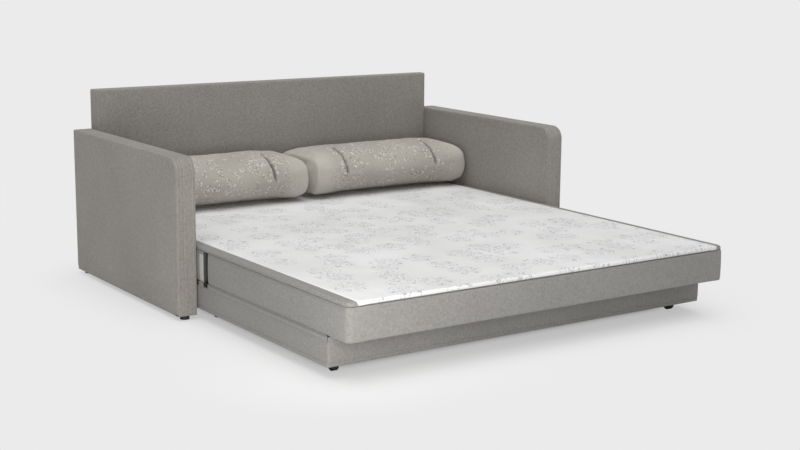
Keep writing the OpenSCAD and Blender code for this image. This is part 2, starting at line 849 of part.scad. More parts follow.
// The cut of a cell runs towards the nearest corner of the cushion, never along its seam
function runs_ac(i, j) = (2 * i < cells_x) == (2 * j < cells_y);
cushion_faces = [for (i = [0 : cells_x - 1], j = [0 : cells_y - 1]) each concat(
    halves(top_index(i, j), top_index(i, j + 1), top_index(i + 1, j + 1), top_index(i + 1, j),
           runs_ac(i, j)),
    halves(low_index(i + 1, j), low_index(i + 1, j + 1), low_index(i, j + 1), low_index(i, j),
           !runs_ac(i, j))
)];

module back_cushion(side) {
    x = side_sign(side) * seat_half / 2;
    y = y_back - soft_gap - cushion_d / 2;
    color(CUSHION) translate([x, y, cushion_z]) polyhedron(cushion_points, cushion_faces, convexity = 4);
}

arm_frame("left");  // left_arm_frame
arm_frame("right");  // right_arm_frame
arm_panel("left", arm_t - arm_panel_in);  // left_arm_outer_panel
arm_panel("right", arm_t - arm_panel_in);  // right_arm_outer_panel
arm_panel("left", arm_pad_in);  // left_arm_inner_panel
arm_panel("right", arm_pad_in);  // right_arm_inner_panel
arm_padding("left");  // left_arm_padding
arm_padding("right");  // right_arm_padding
arm_cover("left");  // left_arm_cover
arm_cover("right");  // right_arm_cover
arm_glides();
back_frame();
back_front_panel();
back_rear_panel();
back_padding();
back_cover();
back_glides();
arm_bolts();
arm_bolt_nuts();
rear_ledger();
side_rail("left");  // left_side_rail
side_rail("right");  // right_side_rail
side_rail_screws();
crossbeam();
crossbeam_legs();
crossbeam_feet();
guide_pads();
fixed_slats();
fixed_slat_screws();
mattress_core("rear");  // mattress_rear_core
mattress_cover("rear");  // mattress_rear_cover
mattress_quilt("rear");  // mattress_rear_quilt
base_front_board();
base_side_board("left");  // base_left_board
base_side_board("right");  // base_right_board
base_crossbar();
base_ledger();
base_front_padding();
base_front_cover();
base_side_cover("left");  // base_left_cover
base_side_cover("right");  // base_right_cover
pull_out_slats();
pull_out_slat_screws();
roller_blocks();
roller_brackets();
bracket_screws();
roller_axles();
roller(-1, roller_y_front);  // front_left_roller
roller(1, roller_y_front);  // front_right_roller
roller(-1, roller_y_rear);  // rear_left_roller
roller(1, roller_y_rear);  // rear_right_roller
mattress_core("front");  // mattress_front_core
mattress_cover("front");  // mattress_front_cover
mattress_quilt("front");  // mattress_front_quilt
back_cushion("left");  // left_back_cushion
back_cushion("right");  // right_back_cushion
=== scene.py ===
"""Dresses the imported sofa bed: arms, back, mattress, pull-out base, back cushions and every finish."""

import logging
import math
from collections.abc import Callable, Sequence
from dataclasses import dataclass
from enum import Enum

import bmesh
import bpy
import numpy as np
from mathutils import Matrix, Vector, noise


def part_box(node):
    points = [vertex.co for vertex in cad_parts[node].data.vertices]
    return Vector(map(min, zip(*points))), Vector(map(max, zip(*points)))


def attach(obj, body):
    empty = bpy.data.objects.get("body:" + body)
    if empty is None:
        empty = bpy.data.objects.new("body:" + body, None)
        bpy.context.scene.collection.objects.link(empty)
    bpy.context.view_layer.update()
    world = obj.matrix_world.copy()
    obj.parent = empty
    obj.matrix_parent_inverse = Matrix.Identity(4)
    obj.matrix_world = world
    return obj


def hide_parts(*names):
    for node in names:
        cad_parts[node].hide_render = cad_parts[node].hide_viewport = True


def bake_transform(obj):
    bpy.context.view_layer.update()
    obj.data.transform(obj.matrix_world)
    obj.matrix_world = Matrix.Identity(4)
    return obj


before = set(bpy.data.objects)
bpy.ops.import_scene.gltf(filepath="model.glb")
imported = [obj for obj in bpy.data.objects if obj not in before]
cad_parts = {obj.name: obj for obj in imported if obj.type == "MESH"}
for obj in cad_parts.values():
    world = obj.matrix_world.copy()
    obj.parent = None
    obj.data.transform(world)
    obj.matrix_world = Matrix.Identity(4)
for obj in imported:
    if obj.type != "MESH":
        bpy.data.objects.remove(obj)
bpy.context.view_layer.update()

Colour = tuple[float, float, float, float]
Socket = bpy.types.NodeSocket
Piece = bpy.types.Object
PlaceTest = Callable[[Vector], bool]

LOG = logging.getLogger("sofa_bed")
NEAR = 1e-5
REST_PLACE = "rest_place"
# the attribute that carries the painted shade in the folds of the cushions' tucks
PAINTED_FOLD_SHADE = "painted_fold_shade"


class Axis(Enum):
    """The three axes of the frame."""

    X = 0
    Y = 1
    Z = 2

    @property
    def direction(self) -> Vector:
        """The unit vector along the axis."""
        return Vector([1.0 if i == self.value else 0.0 for i in range(3)])


class Side(Enum):
    """The two sides of the sofa bed, as seen from the front."""

    LEFT = "left"
    RIGHT = "right"

    @property
    def sign(self) -> float:
        """The side's direction along X."""
        return -1.0 if self is Side.LEFT else 1.0


class Half(Enum):
    """The two halves of the mattress and the body that each rides on."""

    REAR = "rear"
    FRONT = "front"

    @property
    def body(self) -> str:
        """The name of the body that carries the half."""
        return "sofa_frame" if self is Half.REAR else "mattress_front"


class Lay(Enum):
    """What a pattern follows: the piece's own place, or the place of its cloth before it bends."""

    STIFF = "stiff"
    BENDING = "bending"


def shade(red: int, green: int, blue: int) -> Colour:
    """Turns a screen colour into the linear colour that a shader takes.

    Args:
        red: Red from 0 to 255.
        green: Green from 0 to 255.
        blue: Blue from 0 to 255.

    Returns:
        The linear colour with an alpha of 1.
    """
    parts = [value / 255 for value in (red, green, blue)]
    linear = [p / 12.92 if p <= 0.04045 else ((p + 0.055) / 1.055) ** 2.4 for p in parts]
    return (*linear, 1.0)


def corners(node: str) -> tuple[Vector, Vector]:
    """The lowest and the highest corner of a node in the frame."""
    low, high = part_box(node)
    return Vector(low), Vector(high)


def smooth_step(value: float) -> float:
    """Eases a share from 0 to 1, held at both ends."""
    share = min(max(value, 0.0), 1.0)
    return share * share * (3 - 2 * share)


def crown(share: float, power: float = 2.4) -> float:
    """The rise of a stuffed face at a share from -1 to 1 of its width, 1 in the middle."""
    return max(0.0, 1 - abs(share) ** power)


class NodeBoard:
    """The node tree of one material, with a method for each kind of step."""

    def __init__(self, name: str, lay: Lay = Lay.STIFF) -> None:
        """Starts a material and finds the coordinates that its pattern follows.

        Args:
            name: The material's name.
            lay: What the pattern follows.
        """
        self.material = bpy.data.materials.new(name)
        self.material.use_nodes = True
        self.tree = self.material.node_tree
        self.tree.nodes.clear()
        if lay is Lay.BENDING:
            place = self.add("ShaderNodeAttribute")
            place.attribute_name = REST_PLACE
            self.place = place.outputs["Vector"]
        else:
            self.place = self.add("ShaderNodeTexCoord").outputs["Object"]

    def add(self, kind: str) -> bpy.types.Node:
        """Adds a node of the named kind."""
        return self.tree.nodes.new(kind)

    def feed(self, socket: Socket, value: Socket | float | Colour | Vector) -> None:
        """Links a socket to another, or sets its value.

        Args:
            socket: The input socket.
            value: An output socket, or a plain value.
        """
        if isinstance(value, bpy.types.NodeSocket):
            self.tree.links.new(value, socket)
        else:
            socket.default_value = value

    def calc(self, operation: str, first: Socket | float, second: Socket | float = 0.0) -> Socket:
        """Works out one step of arithmetic.

        Args:
            operation: The Math node's operation.
            first: The first number.
            second: The second number, where the operation has one.

        Returns:
            The result.
        """
        node = self.add("ShaderNodeMath")
        node.operation = operation
        self.feed(node.inputs[0], first)
        self.feed(node.inputs[1], second)
        return node.outputs[0]

    def distance(self, across: Socket, along: Socket) -> Socket:
        """The length of a line whose two parts, at right angles, are given."""
        return self.calc("SQRT", self.calc("ADD", self.calc("MULTIPLY", across, across),
                                           self.calc("MULTIPLY", along, along)))

    def total(self, *terms: tuple[Socket, float]) -> Socket:
        """Adds up terms, each a socket times a weight.

        Args:
            *terms: Pairs of a socket and its weight.

        Returns:
            The sum.
        """
        result: Socket | float = 0.0
        for socket, weight in terms:
            node = self.add("ShaderNodeMath")
            node.operation = "MULTIPLY_ADD"
            self.feed(node.inputs[0], socket)
            node.inputs[1].default_value = weight
            self.feed(node.inputs[2], result)
            result = node.outputs[0]
        return result

    def ease(self, value: Socket, low: float, high: float, start: float = 0.0, end: float = 1.0) -> Socket:
        """Maps a range smoothly onto another, held at its ends.

        Args:
            value: The number to map.
            low: The value that gives start.
            high: The value that gives end.
            start: The result at low.
            end: The result at high.

        Returns:
            The mapped number.
        """
        node = self.add("ShaderNodeMapRange")
        node.interpolation_type = "SMOOTHSTEP"
        for socket, number in zip(node.inputs, (value, low, high, start, end)):
            self.feed(socket, number)
        return node.outputs[0]

    def stretch(self, scale: Sequence[float], turn: Sequence[float] = (0, 0, 0),
                place: Socket | None = None) -> Socket:
        """Scales and turns the coordinates.

        Args:
            scale: The scale along each axis.
            turn: The turn about each axis in radians.
            place: The coordinates to change, or the material's own.

        Returns:
            The changed coordinates.
        """
        node = self.add("ShaderNodeMapping")
        self.feed(node.inputs["Vector"], place or self.place)
        node.inputs["Scale"].default_value = scale
        node.inputs["Rotation"].default_value = turn
        return node.outputs[0]

    def clouds(self, scale: float, detail: float = 2.0, rough: float = 0.5,
               place: Socket | None = None) -> Socket:
        """Soft random values from 0 to 1.

        Args:
            scale: Features for each metre.
            detail: Octaves of finer features.
            rough: The strength of the finer ones.
            place: The coordinates, or the material's own.

        Returns:
            The random value.
        """
        node = self.add("ShaderNodeTexNoise")
        self.feed(node.inputs["Vector"], place or self.place)
        node.inputs["Scale"].default_value = scale
        node.inputs["Detail"].default_value = detail
        node.inputs["Roughness"].default_value = rough
        return node.outputs["Fac"]

    def cells(self, scale: float, place: Socket | None = None, flat: bool = False,
              scatter: float = 1.0) -> bpy.types.Node:
        """Divides space into cells round scattered points.

        Args:
            scale: Cells for each metre.
            place: The coordinates, or the material's own.
            flat: Whether the cells lie in the XY plane.
            scatter: How far the points stray from a grid.

        Returns:
            The Voronoi node, for its several outputs.
        """
        node = self.add("ShaderNodeTexVoronoi")
        node.voronoi_dimensions = "2D" if flat else "3D"
        self.feed(node.inputs["Vector"], place or self.place)
        node.inputs["Scale"].default_value = scale
        node.inputs["Randomness"].default_value = scatter
        return node

    def parts(self, vector: Socket) -> list[Socket]:
        """Splits a vector into its three numbers.

        Args:
            vector: The vector to split.

        Returns:
            Its X, Y and Z.
        """
        node = self.add("ShaderNodeSeparateXYZ")
        self.feed(node.inputs[0], vector)
        return list(node.outputs)

    def vector(self, operation: str, first: Socket, second: Socket | Vector | Sequence[float]) -> Socket:
        """Works out one step with vectors.

        Args:
            operation: The Vector Math node's operation.
            first: The first vector.
            second: The second vector, or the factor of a SCALE.

        Returns:
            The resulting vector, or the length for LENGTH.
        """
        node = self.add("ShaderNodeVectorMath")
        node.operation = operation
        self.feed(node.inputs[0], first)
        self.feed(node.inputs["Scale" if operation == "SCALE" else 1], second)
        return node.outputs["Value" if operation == "LENGTH" else "Vector"]

    def blend(self, share: Socket | float, first: Socket | Colour, second: Socket | Colour) -> Socket:
        """Mixes two colours.

        Args:
            share: How much of the second shows, from 0 to 1.
            first: The colour at 0.
            second: The colour at 1.

        Returns:
            The mixed colour.
        """
        node = self.add("ShaderNodeMix")
        node.data_type = "RGBA"
        node.clamp_factor = True
        self.feed(node.inputs[0], share)
        self.feed(node.inputs[6], first)
        self.feed(node.inputs[7], second)
        return node.outputs[2]

    def weave(self, pitch: float) -> Socket:
        """Height of a plain weave with threads a pitch apart, from -1 to 1 on any straight face.

        Args:
            pitch: How far apart the threads lie, in metres.

        Returns:
            The height.
        """
        waves = [self.calc("SINE", self.calc("MULTIPLY", part, 2 * math.pi / pitch))
                 for part in self.parts(self.place)]
        pairs = [self.calc("MULTIPLY", waves[i], waves[(i + 1) % 3]) for i in range(3)]
        return self.calc("ADD", self.calc("ADD", pairs[0], pairs[1]), pairs[2])

    def relief(self, height: Socket, depth: float, strength: float) -> Socket:
        """Turns a height into a normal.

        Args:
            height: The height from 0 to 1.
            depth: The depth of the relief in metres.
            strength: How strongly it shows, from 0 to 1.

        Returns:
            The bumped normal.
        """
        node = self.add("ShaderNodeBump")
        node.inputs["Strength"].default_value = strength
        node.inputs["Distance"].default_value = depth
        self.feed(node.inputs["Height"], height)
        return node.outputs[0]

    def surface(self, colour: Socket | Colour, rough: Socket | float, normal: Socket | None = None,
                **fixed: float) -> bpy.types.Material:
        """Closes the material with its surface shader.

        Args:
            colour: The base colour.
            rough: The roughness.
            normal: The bumped normal, if there is one.
            **fixed: Values set on the shader's own sockets, with _ for a space.

        Returns:
            The finished material.
        """
        shader = self.add("ShaderNodeBsdfPrincipled")
        self.feed(shader.inputs["Base Color"], colour)
        self.feed(shader.inputs["Roughness"], rough)
        if normal is not None:
            self.feed(shader.inputs["Normal"], normal)
        for name, value in fixed.items():
            shader.inputs[name.replace("_", " ")].default_value = value
        output = self.add("ShaderNodeOutputMaterial")
        self.feed(output.inputs["Surface"], shader.outputs[0])
        return self.material


@dataclass(frozen=True)
class MelangeCloth:
    """Plain woven upholstery cloth of pale and dark yarns."""

    name: str
    dark: Colour
    middle: Colour
    light: Colour
    lay: Lay = Lay.STIFF
    thread_pitch: float = 0.0017
    streak_length: float = 0.016
    mottle_size: float = 0.011

    def material(self) -> bpy.types.Material:
        """Weaves the cloth: streaks along the threads, mottled yarn and a raised weave.

        Returns:
            The finished material.
        """
        board = NodeBoard(self.name, self.lay)
        fine, long = 1 / self.thread_pitch, 1 / self.streak_length
        streaks = [board.clouds(1.0, 2.0, 0.6, board.stretch(scale))
                   for scale in ((long, fine, fine), (fine, long, fine), (fine, fine, long))]
        fibre = board.clouds(0.9 * fine, 3.0, 0.7)
        mottle = board.clouds(1 / self.mottle_size, 3.0, 0.65)
        fade = board.clouds(2.3, 2.0)
        tone = board.total((streaks[0], 0.75), (streaks[1], 0.75), (streaks[2], 0.75), (fibre, 0.5),
                           (mottle, 0.85), (fade, 0.4))
        pale = board.ease(tone, 1.95, 2.55)
        deep = board.ease(tone, 2.05, 1.45)
        colour = board.blend(deep, board.blend(pale, self.middle, self.light), self.dark)
        height = board.total((board.weave(self.thread_pitch), 0.3), (fibre, 0.5), (mottle, 0.4))
        rough = board.ease(tone, 1.4, 2.6, 0.94, 0.8)
        return board.surface(colour, rough, board.relief(height, 0.0006, 0.45),
                             Sheen_Weight=0.12, Sheen_Roughness=0.55, Specular_IOR_Level=0.2)


@dataclass(frozen=True)
class DamaskTicking:
    """Off-white mattress ticking with scattered sprays of leaves and scrolls, in the traditional way."""

    name: str
    ground: Colour
    figure: Colour
    glint: Colour
    spray_spacing: float = 0.170
    spray_radius: float = 0.086
    petals: float = 5.0
    thread_pitch: float = 0.0016

    def spray(self, board: NodeBoard) -> Socket:
        """Draws the sprays.

        Args:
            board: The node board.

        Returns:
            A share from 0 on the ground to 1 on the drawn lines.
        """
        drift = board.vector("SCALE", board.cells(9.0, flat=True).outputs["Color"], 0.028)
        place = board.vector("ADD", board.place, drift)
        cell = board.cells(1 / self.spray_spacing, place, flat=True, scatter=0.75)
        offset = board.vector("SUBTRACT", place, board.vector("SCALE", cell.outputs["Position"], 1.0))
        across, along, _ = board.parts(offset)
        chance, turn, _ = board.parts(cell.outputs["Color"])
        radius = board.distance(across, along)
        angle = board.calc("ADD", board.calc("ARCTAN2", along, across),
                           board.calc("MULTIPLY", turn, 2 * math.pi))
        lobes = board.calc("COSINE", board.calc("MULTIPLY", angle, self.petals))
        rim = board.calc("MULTIPLY", board.total((lobes, 0.34), (chance, 0.3)), self.spray_radius)
        petal = board.calc("ABSOLUTE", board.calc("SUBTRACT", board.calc("SUBTRACT", radius, rim), 0.018))
        outline = board.ease(petal, 0.0030, 0.0090, 1.0, 0.0)
        curl = board.calc("SINE", board.total((radius, 2 * math.pi / 0.034), (angle, 3.0)))
        scroll = board.ease(board.calc("ABSOLUTE", curl), 0.20, 0.60, 1.0, 0.0)
        inside = board.ease(radius, 0.6 * self.spray_radius, self.spray_radius, 1.0, 0.0)
        drawn = board.calc("MAXIMUM", outline, board.calc("MULTIPLY", scroll, 0.75))
        return board.calc("MULTIPLY", drawn, inside)

    def material(self) -> bpy.types.Material:
        """Prints the sprays on a quilted knit.

        Returns:
            The finished material.
        """
        board = NodeBoard(self.name, Lay.BENDING)
        spray = self.spray(board)
        fine = board.clouds(1 / self.thread_pitch, 2.0, 0.6)
        speckle = board.clouds(64.0, 2.0, 0.6)
        fade = board.clouds(3.1, 2.0)
        broken = board.calc("MULTIPLY", spray, board.ease(speckle, 0.42, 0.54))
        sparkle = board.calc("MULTIPLY", spray, board.ease(speckle, 0.50, 0.38))
        ground = board.blend(board.ease(board.total((fade, 1.0), (fine, 0.4)), 0.4, 1.0),
                             self.ground, self.glint)
        inked = board.blend(board.calc("MULTIPLY", broken, 0.8), ground, self.figure)
        colour = board.blend(board.calc("MULTIPLY", sparkle, 0.85), inked, self.glint)
        puff = board.clouds(26.0, 2.0, 0.45)
        height = board.total((fine, 0.25), (spray, -0.35), (puff, 1.0))
        return board.surface(colour, 0.78, board.relief(height, 0.0022, 0.3),
                             Sheen_Weight=0.1, Sheen_Roughness=0.5, Specular_IOR_Level=0.25)


@dataclass(frozen=True)
class SprigCloth:
    """Beige cushion cloth with a small speckled sprig that thins out towards the ends, and painted shade in
    the folds of its tucks.
    """

    name: str
    ground: Colour
    dark: Colour
    light: Colour
    # the colour of the painted shade in the tucks' folds
    shadow: Colour
    centre: float
    printed_half: float = 0.395
    fade_width: float = 0.090
    sprig_size: float = 0.027
    thread_pitch: float = 0.0015

    def material(self) -> bpy.types.Material:
        """Prints light and dark sprigs on a plain weave, and darkens the tucks' folds with painted shade.

        Returns:
            The finished material.
        """
        board = NodeBoard(self.name)
        fine = 1 / self.thread_pitch
        fibre = board.clouds(fine, 3.0, 0.65)
        sprig = board.cells(1 / self.sprig_size)
        ring = board.calc("ABSOLUTE", board.calc("SUBTRACT", sprig.outputs["Distance"], 0.34))
        petal = board.ease(ring, 0.03, 0.16, 1.0, 0.0)
        heart = board.ease(sprig.outputs["Distance"], 0.08, 0.2, 1.0, 0.0)
        speckle = board.clouds(80.0, 2.0, 0.7)
        patches = board.ease(board.clouds(13.0, 3.0, 0.6), 0.37, 0.51)
        from_middle = board.calc("ABSOLUTE", board.calc("SUBTRACT", board.calc(
            "ABSOLUTE", board.parts(board.place)[0]), self.centre))
        printed = board.ease(from_middle, self.printed_half - self.fade_width, self.printed_half, 1.0, 0.12)
        share = board.calc("MULTIPLY", patches, printed)
        pale = board.calc("MULTIPLY", board.calc("MULTIPLY", petal, board.ease(speckle, 0.46, 0.58)), share)
        deep = board.calc("MULTIPLY", board.calc("MAXIMUM", heart, board.calc(
            "MULTIPLY", petal, board.ease(speckle, 0.48, 0.38))), share)
        ground = board.blend(board.ease(fibre, 0.3, 0.75, 0.0, 0.5), self.ground, self.light)
        worn = board.total((board.ease(board.clouds(5.0), 0.35, 0.7), 0.16), (printed, 0.24))
        plain = board.blend(worn, ground, self.dark)
        printed_cloth = board.blend(board.calc("MULTIPLY", deep, 0.7),
                                    board.blend(pale, plain, self.light), self.dark)
        # painted shade: the tucks' folds are darkened towards the shadow colour
        fold = board.add("ShaderNodeAttribute")
        fold.attribute_name = PAINTED_FOLD_SHADE
        colour = board.blend(board.calc("MULTIPLY", fold.outputs["Fac"], 0.6), printed_cloth, self.shadow)
        height = board.total((board.weave(self.thread_pitch), 0.3), (fibre, 0.5), (pale, 0.6))
        return board.surface(colour, 0.85, board.relief(height, 0.0007, 0.4),
                             Sheen_Weight=0.12, Sheen_Roughness=0.5, Specular_IOR_Level=0.2)


@dataclass(frozen=True)
class SawnTimber:
    """Planed softwood with growth lines, pores and a few knots, along one axis."""

    name: str
    early: Colour
    late: Colour
    along: Axis
    ring_spacing: float = 0.0075

    def material(self) -> bpy.types.Material:
        """Draws the grain as stretched, wavy layers.

        Returns:
            The finished material.
        """
        board = NodeBoard(self.name)

        def pressed(share: float) -> Socket:
            """The coordinates pressed together along the grain."""
            return board.stretch([share if axis is self.along else 1.0 for axis in Axis])

        place = pressed(0.09)
        wander = board.clouds(9.0, 3.0, 0.55, place)
        parts = board.parts(place)
        cross = [parts[axis.value] for axis in Axis if axis is not self.along]
        layer = board.total((cross[0], 1 / self.ring_spacing), (cross[1], 0.6 / self.ring_spacing),
                            (wander, 5.0))
        ring = board.calc("FRACT", layer)
        line = board.calc("MULTIPLY", ring, ring)
        pores = board.clouds(900.0, 2.0, 0.6, pressed(0.03))
        knots = board.ease(board.cells(3.2, pressed(0.35)).outputs["Distance"], 0.05, 0.11, 1.0, 0.0)
        tone = board.total((line, 0.75), (pores, 0.35), (knots, 0.6))
        colour = board.blend(board.ease(tone, 0.1, 1.15), self.early, self.late)
        return board.surface(colour, board.ease(tone, 0.0, 1.2, 0.72, 0.55),
                             board.relief(tone, 0.0005, 0.35), Specular_IOR_Level=0.3)


@dataclass(frozen=True)
class Plywood:
    """Sprung beech slats: long grain on the faces and thin plies on the edges."""

    name: str
    face: Colour
    flame: Colour
    ply: float = 0.0018

    def material(self) -> bpy.types.Material:
        """Layers the plies by height and streaks the faces along Y.

        Returns:
            The finished material.
        """
        board = NodeBoard(self.name)
        height = board.parts(board.place)[2]
        layer = board.calc("FRACT", board.calc("DIVIDE", height, 2 * self.ply))
        plies = board.ease(layer, 0.45, 0.55)
        flecks = board.clouds(420.0, 2.0, 0.6, board.stretch((1.0, 0.07, 1.0)))
        figure = board.clouds(16.0, 3.0, 0.55, board.stretch((1.0, 0.12, 1.0)))
        tone = board.total((plies, 0.35), (flecks, 0.6), (figure, 0.6))
        colour = board.blend(board.ease(tone, 0.25, 1.2), self.face, self.flame)
        return board.surface(colour, board.ease(tone, 0.2, 1.2, 0.5, 0.38),
                             board.relief(tone, 0.0003, 0.3), Coat_Weight=0.15, Coat_Roughness=0.35)


@dataclass(frozen=True)
class Hardboard:
    """Pressed fibre board with a hard, slightly shiny face."""

    name: str
    board_colour: Colour
    fibre_colour: Colour

    def material(self) -> bpy.types.Material:
        """Scatters short fibres over a mottled sheet.

        Returns:
            The finished material.
        """
        board = NodeBoard(self.name)
        fibres = board.clouds(650.0, 4.0, 0.75)
        mottle = board.clouds(35.0, 3.0, 0.6)
        tone = board.total((fibres, 0.8), (mottle, 0.5))
        colour = board.blend(board.ease(tone, 0.45, 0.95), self.board_colour, self.fibre_colour)
        return board.surface(colour, board.ease(fibres, 0.3, 0.7, 0.6, 0.42),
                             board.relief(fibres, 0.0002, 0.3), Specular_IOR_Level=0.35)


@dataclass(frozen=True)
class ZincSteel:
    """Bright zinc-plated steel with faint crystals and handling marks."""

    name: str
    bright: Colour
    dull: Colour

    def material(self) -> bpy.types.Material:
        """Breaks the plating into crystals and dulls it in patches.

        Returns:
            The finished material.
        """
        board = NodeBoard(self.name)
        crystals = board.parts(board.cells(170.0).outputs["Color"])[0]
        scuffs = board.clouds(60.0, 4.0, 0.7)
        tone = board.total((crystals, 0.4), (scuffs, 0.8))
        colour = board.blend(board.ease(tone, 0.3, 0.95), self.bright, self.dull)
        return board.surface(colour, board.ease(tone, 0.3, 1.0, 0.26, 0.48),
                             board.relief(tone, 0.0001, 0.25), Metallic=1.0)


@dataclass(frozen=True)
class MouldedPlastic:
    """Black moulded plastic with a fine spark texture and scuffed high spots."""

    name: str
    body: Colour
    scuff: Colour

    def material(self) -> bpy.types.Material:
        """Grains the plastic and lightens it where it is scuffed.

        Returns:
            The finished material.
        """
        board = NodeBoard(self.name)
        spark = board.clouds(1400.0, 2.0, 0.6)
        wear = board.ease(board.clouds(90.0, 4.0, 0.7), 0.56, 0.72)
        colour = board.blend(board.calc("MULTIPLY", wear, 0.6), self.body, self.scuff)
        return board.surface(colour, board.ease(spark, 0.3, 0.7, 0.42, 0.6),
                             board.relief(spark, 0.00015, 0.35), Specular_IOR_Level=0.5)


@dataclass(frozen=True)
class Foam:
    """Cream upholstery foam with open cells and slightly yellowed patches."""

    name: str
    fresh: Colour
    aged: Colour

    def material(self) -> bpy.types.Material:
        """Fills the foam with small open cells.

        Returns:
            The finished material.
        """
        board = NodeBoard(self.name)
        pores = board.cells(520.0).outputs["Distance"]
        patches = board.clouds(7.0, 3.0, 0.6)
        colour = board.blend(board.total((pores, 0.3), (board.ease(patches, 0.35, 0.7), 0.6)),
                             self.fresh, self.aged)
        return board.surface(colour, 0.95, board.relief(pores, 0.0008, 0.6), Specular_IOR_Level=0.15)


@dataclass(frozen=True)
class DustCloth:
    """Spun-bonded cloth embossed with rows of dots: the underside's dust cloth, and also the dark strip of
    painted shade at the slot and the pale strip of painted highlight beside it.
    """

    name: str
    body: Colour
    fibre: Colour
    dot_spacing: float = 0.0032

    def material(self) -> bpy.types.Material:
        """Presses the dots into a web of fibres.

        Returns:
            The finished material.
        """
        board = NodeBoard(self.name)
        web = board.clouds(520.0, 4.0, 0.8)
        dots = board.ease(board.weave(self.dot_spacing), 0.2, 0.8)
        colour = board.blend(board.ease(web, 0.45, 0.75), self.body, self.fibre)
        height = board.total((web, 0.6), (dots, -0.6))
        return board.surface(colour, 0.9, board.relief(height, 0.0004, 0.5), Specular_IOR_Level=0.2)


@dataclass(frozen=True)
class SewingThread:
    """Twisted sewing thread, a shade off the cloth that it holds."""

    name: str
    body: Colour
    shine: Colour

    def material(self) -> bpy.types.Material:
        """Twists fine plies round the thread.

        Returns:
            The finished material.
        """
        board = NodeBoard(self.name)
        twist = board.clouds(2600.0, 1.0, 0.5, board.stretch((1.0, 0.5, 0.5), (0.6, 0.4, 0.7)))
        colour = board.blend(board.ease(twist, 0.35, 0.65), self.body, self.shine)
        return board.surface(colour, 0.6, board.relief(twist, 0.0002, 0.5),
                             Sheen_Weight=0.2, Specular_IOR_Level=0.3)


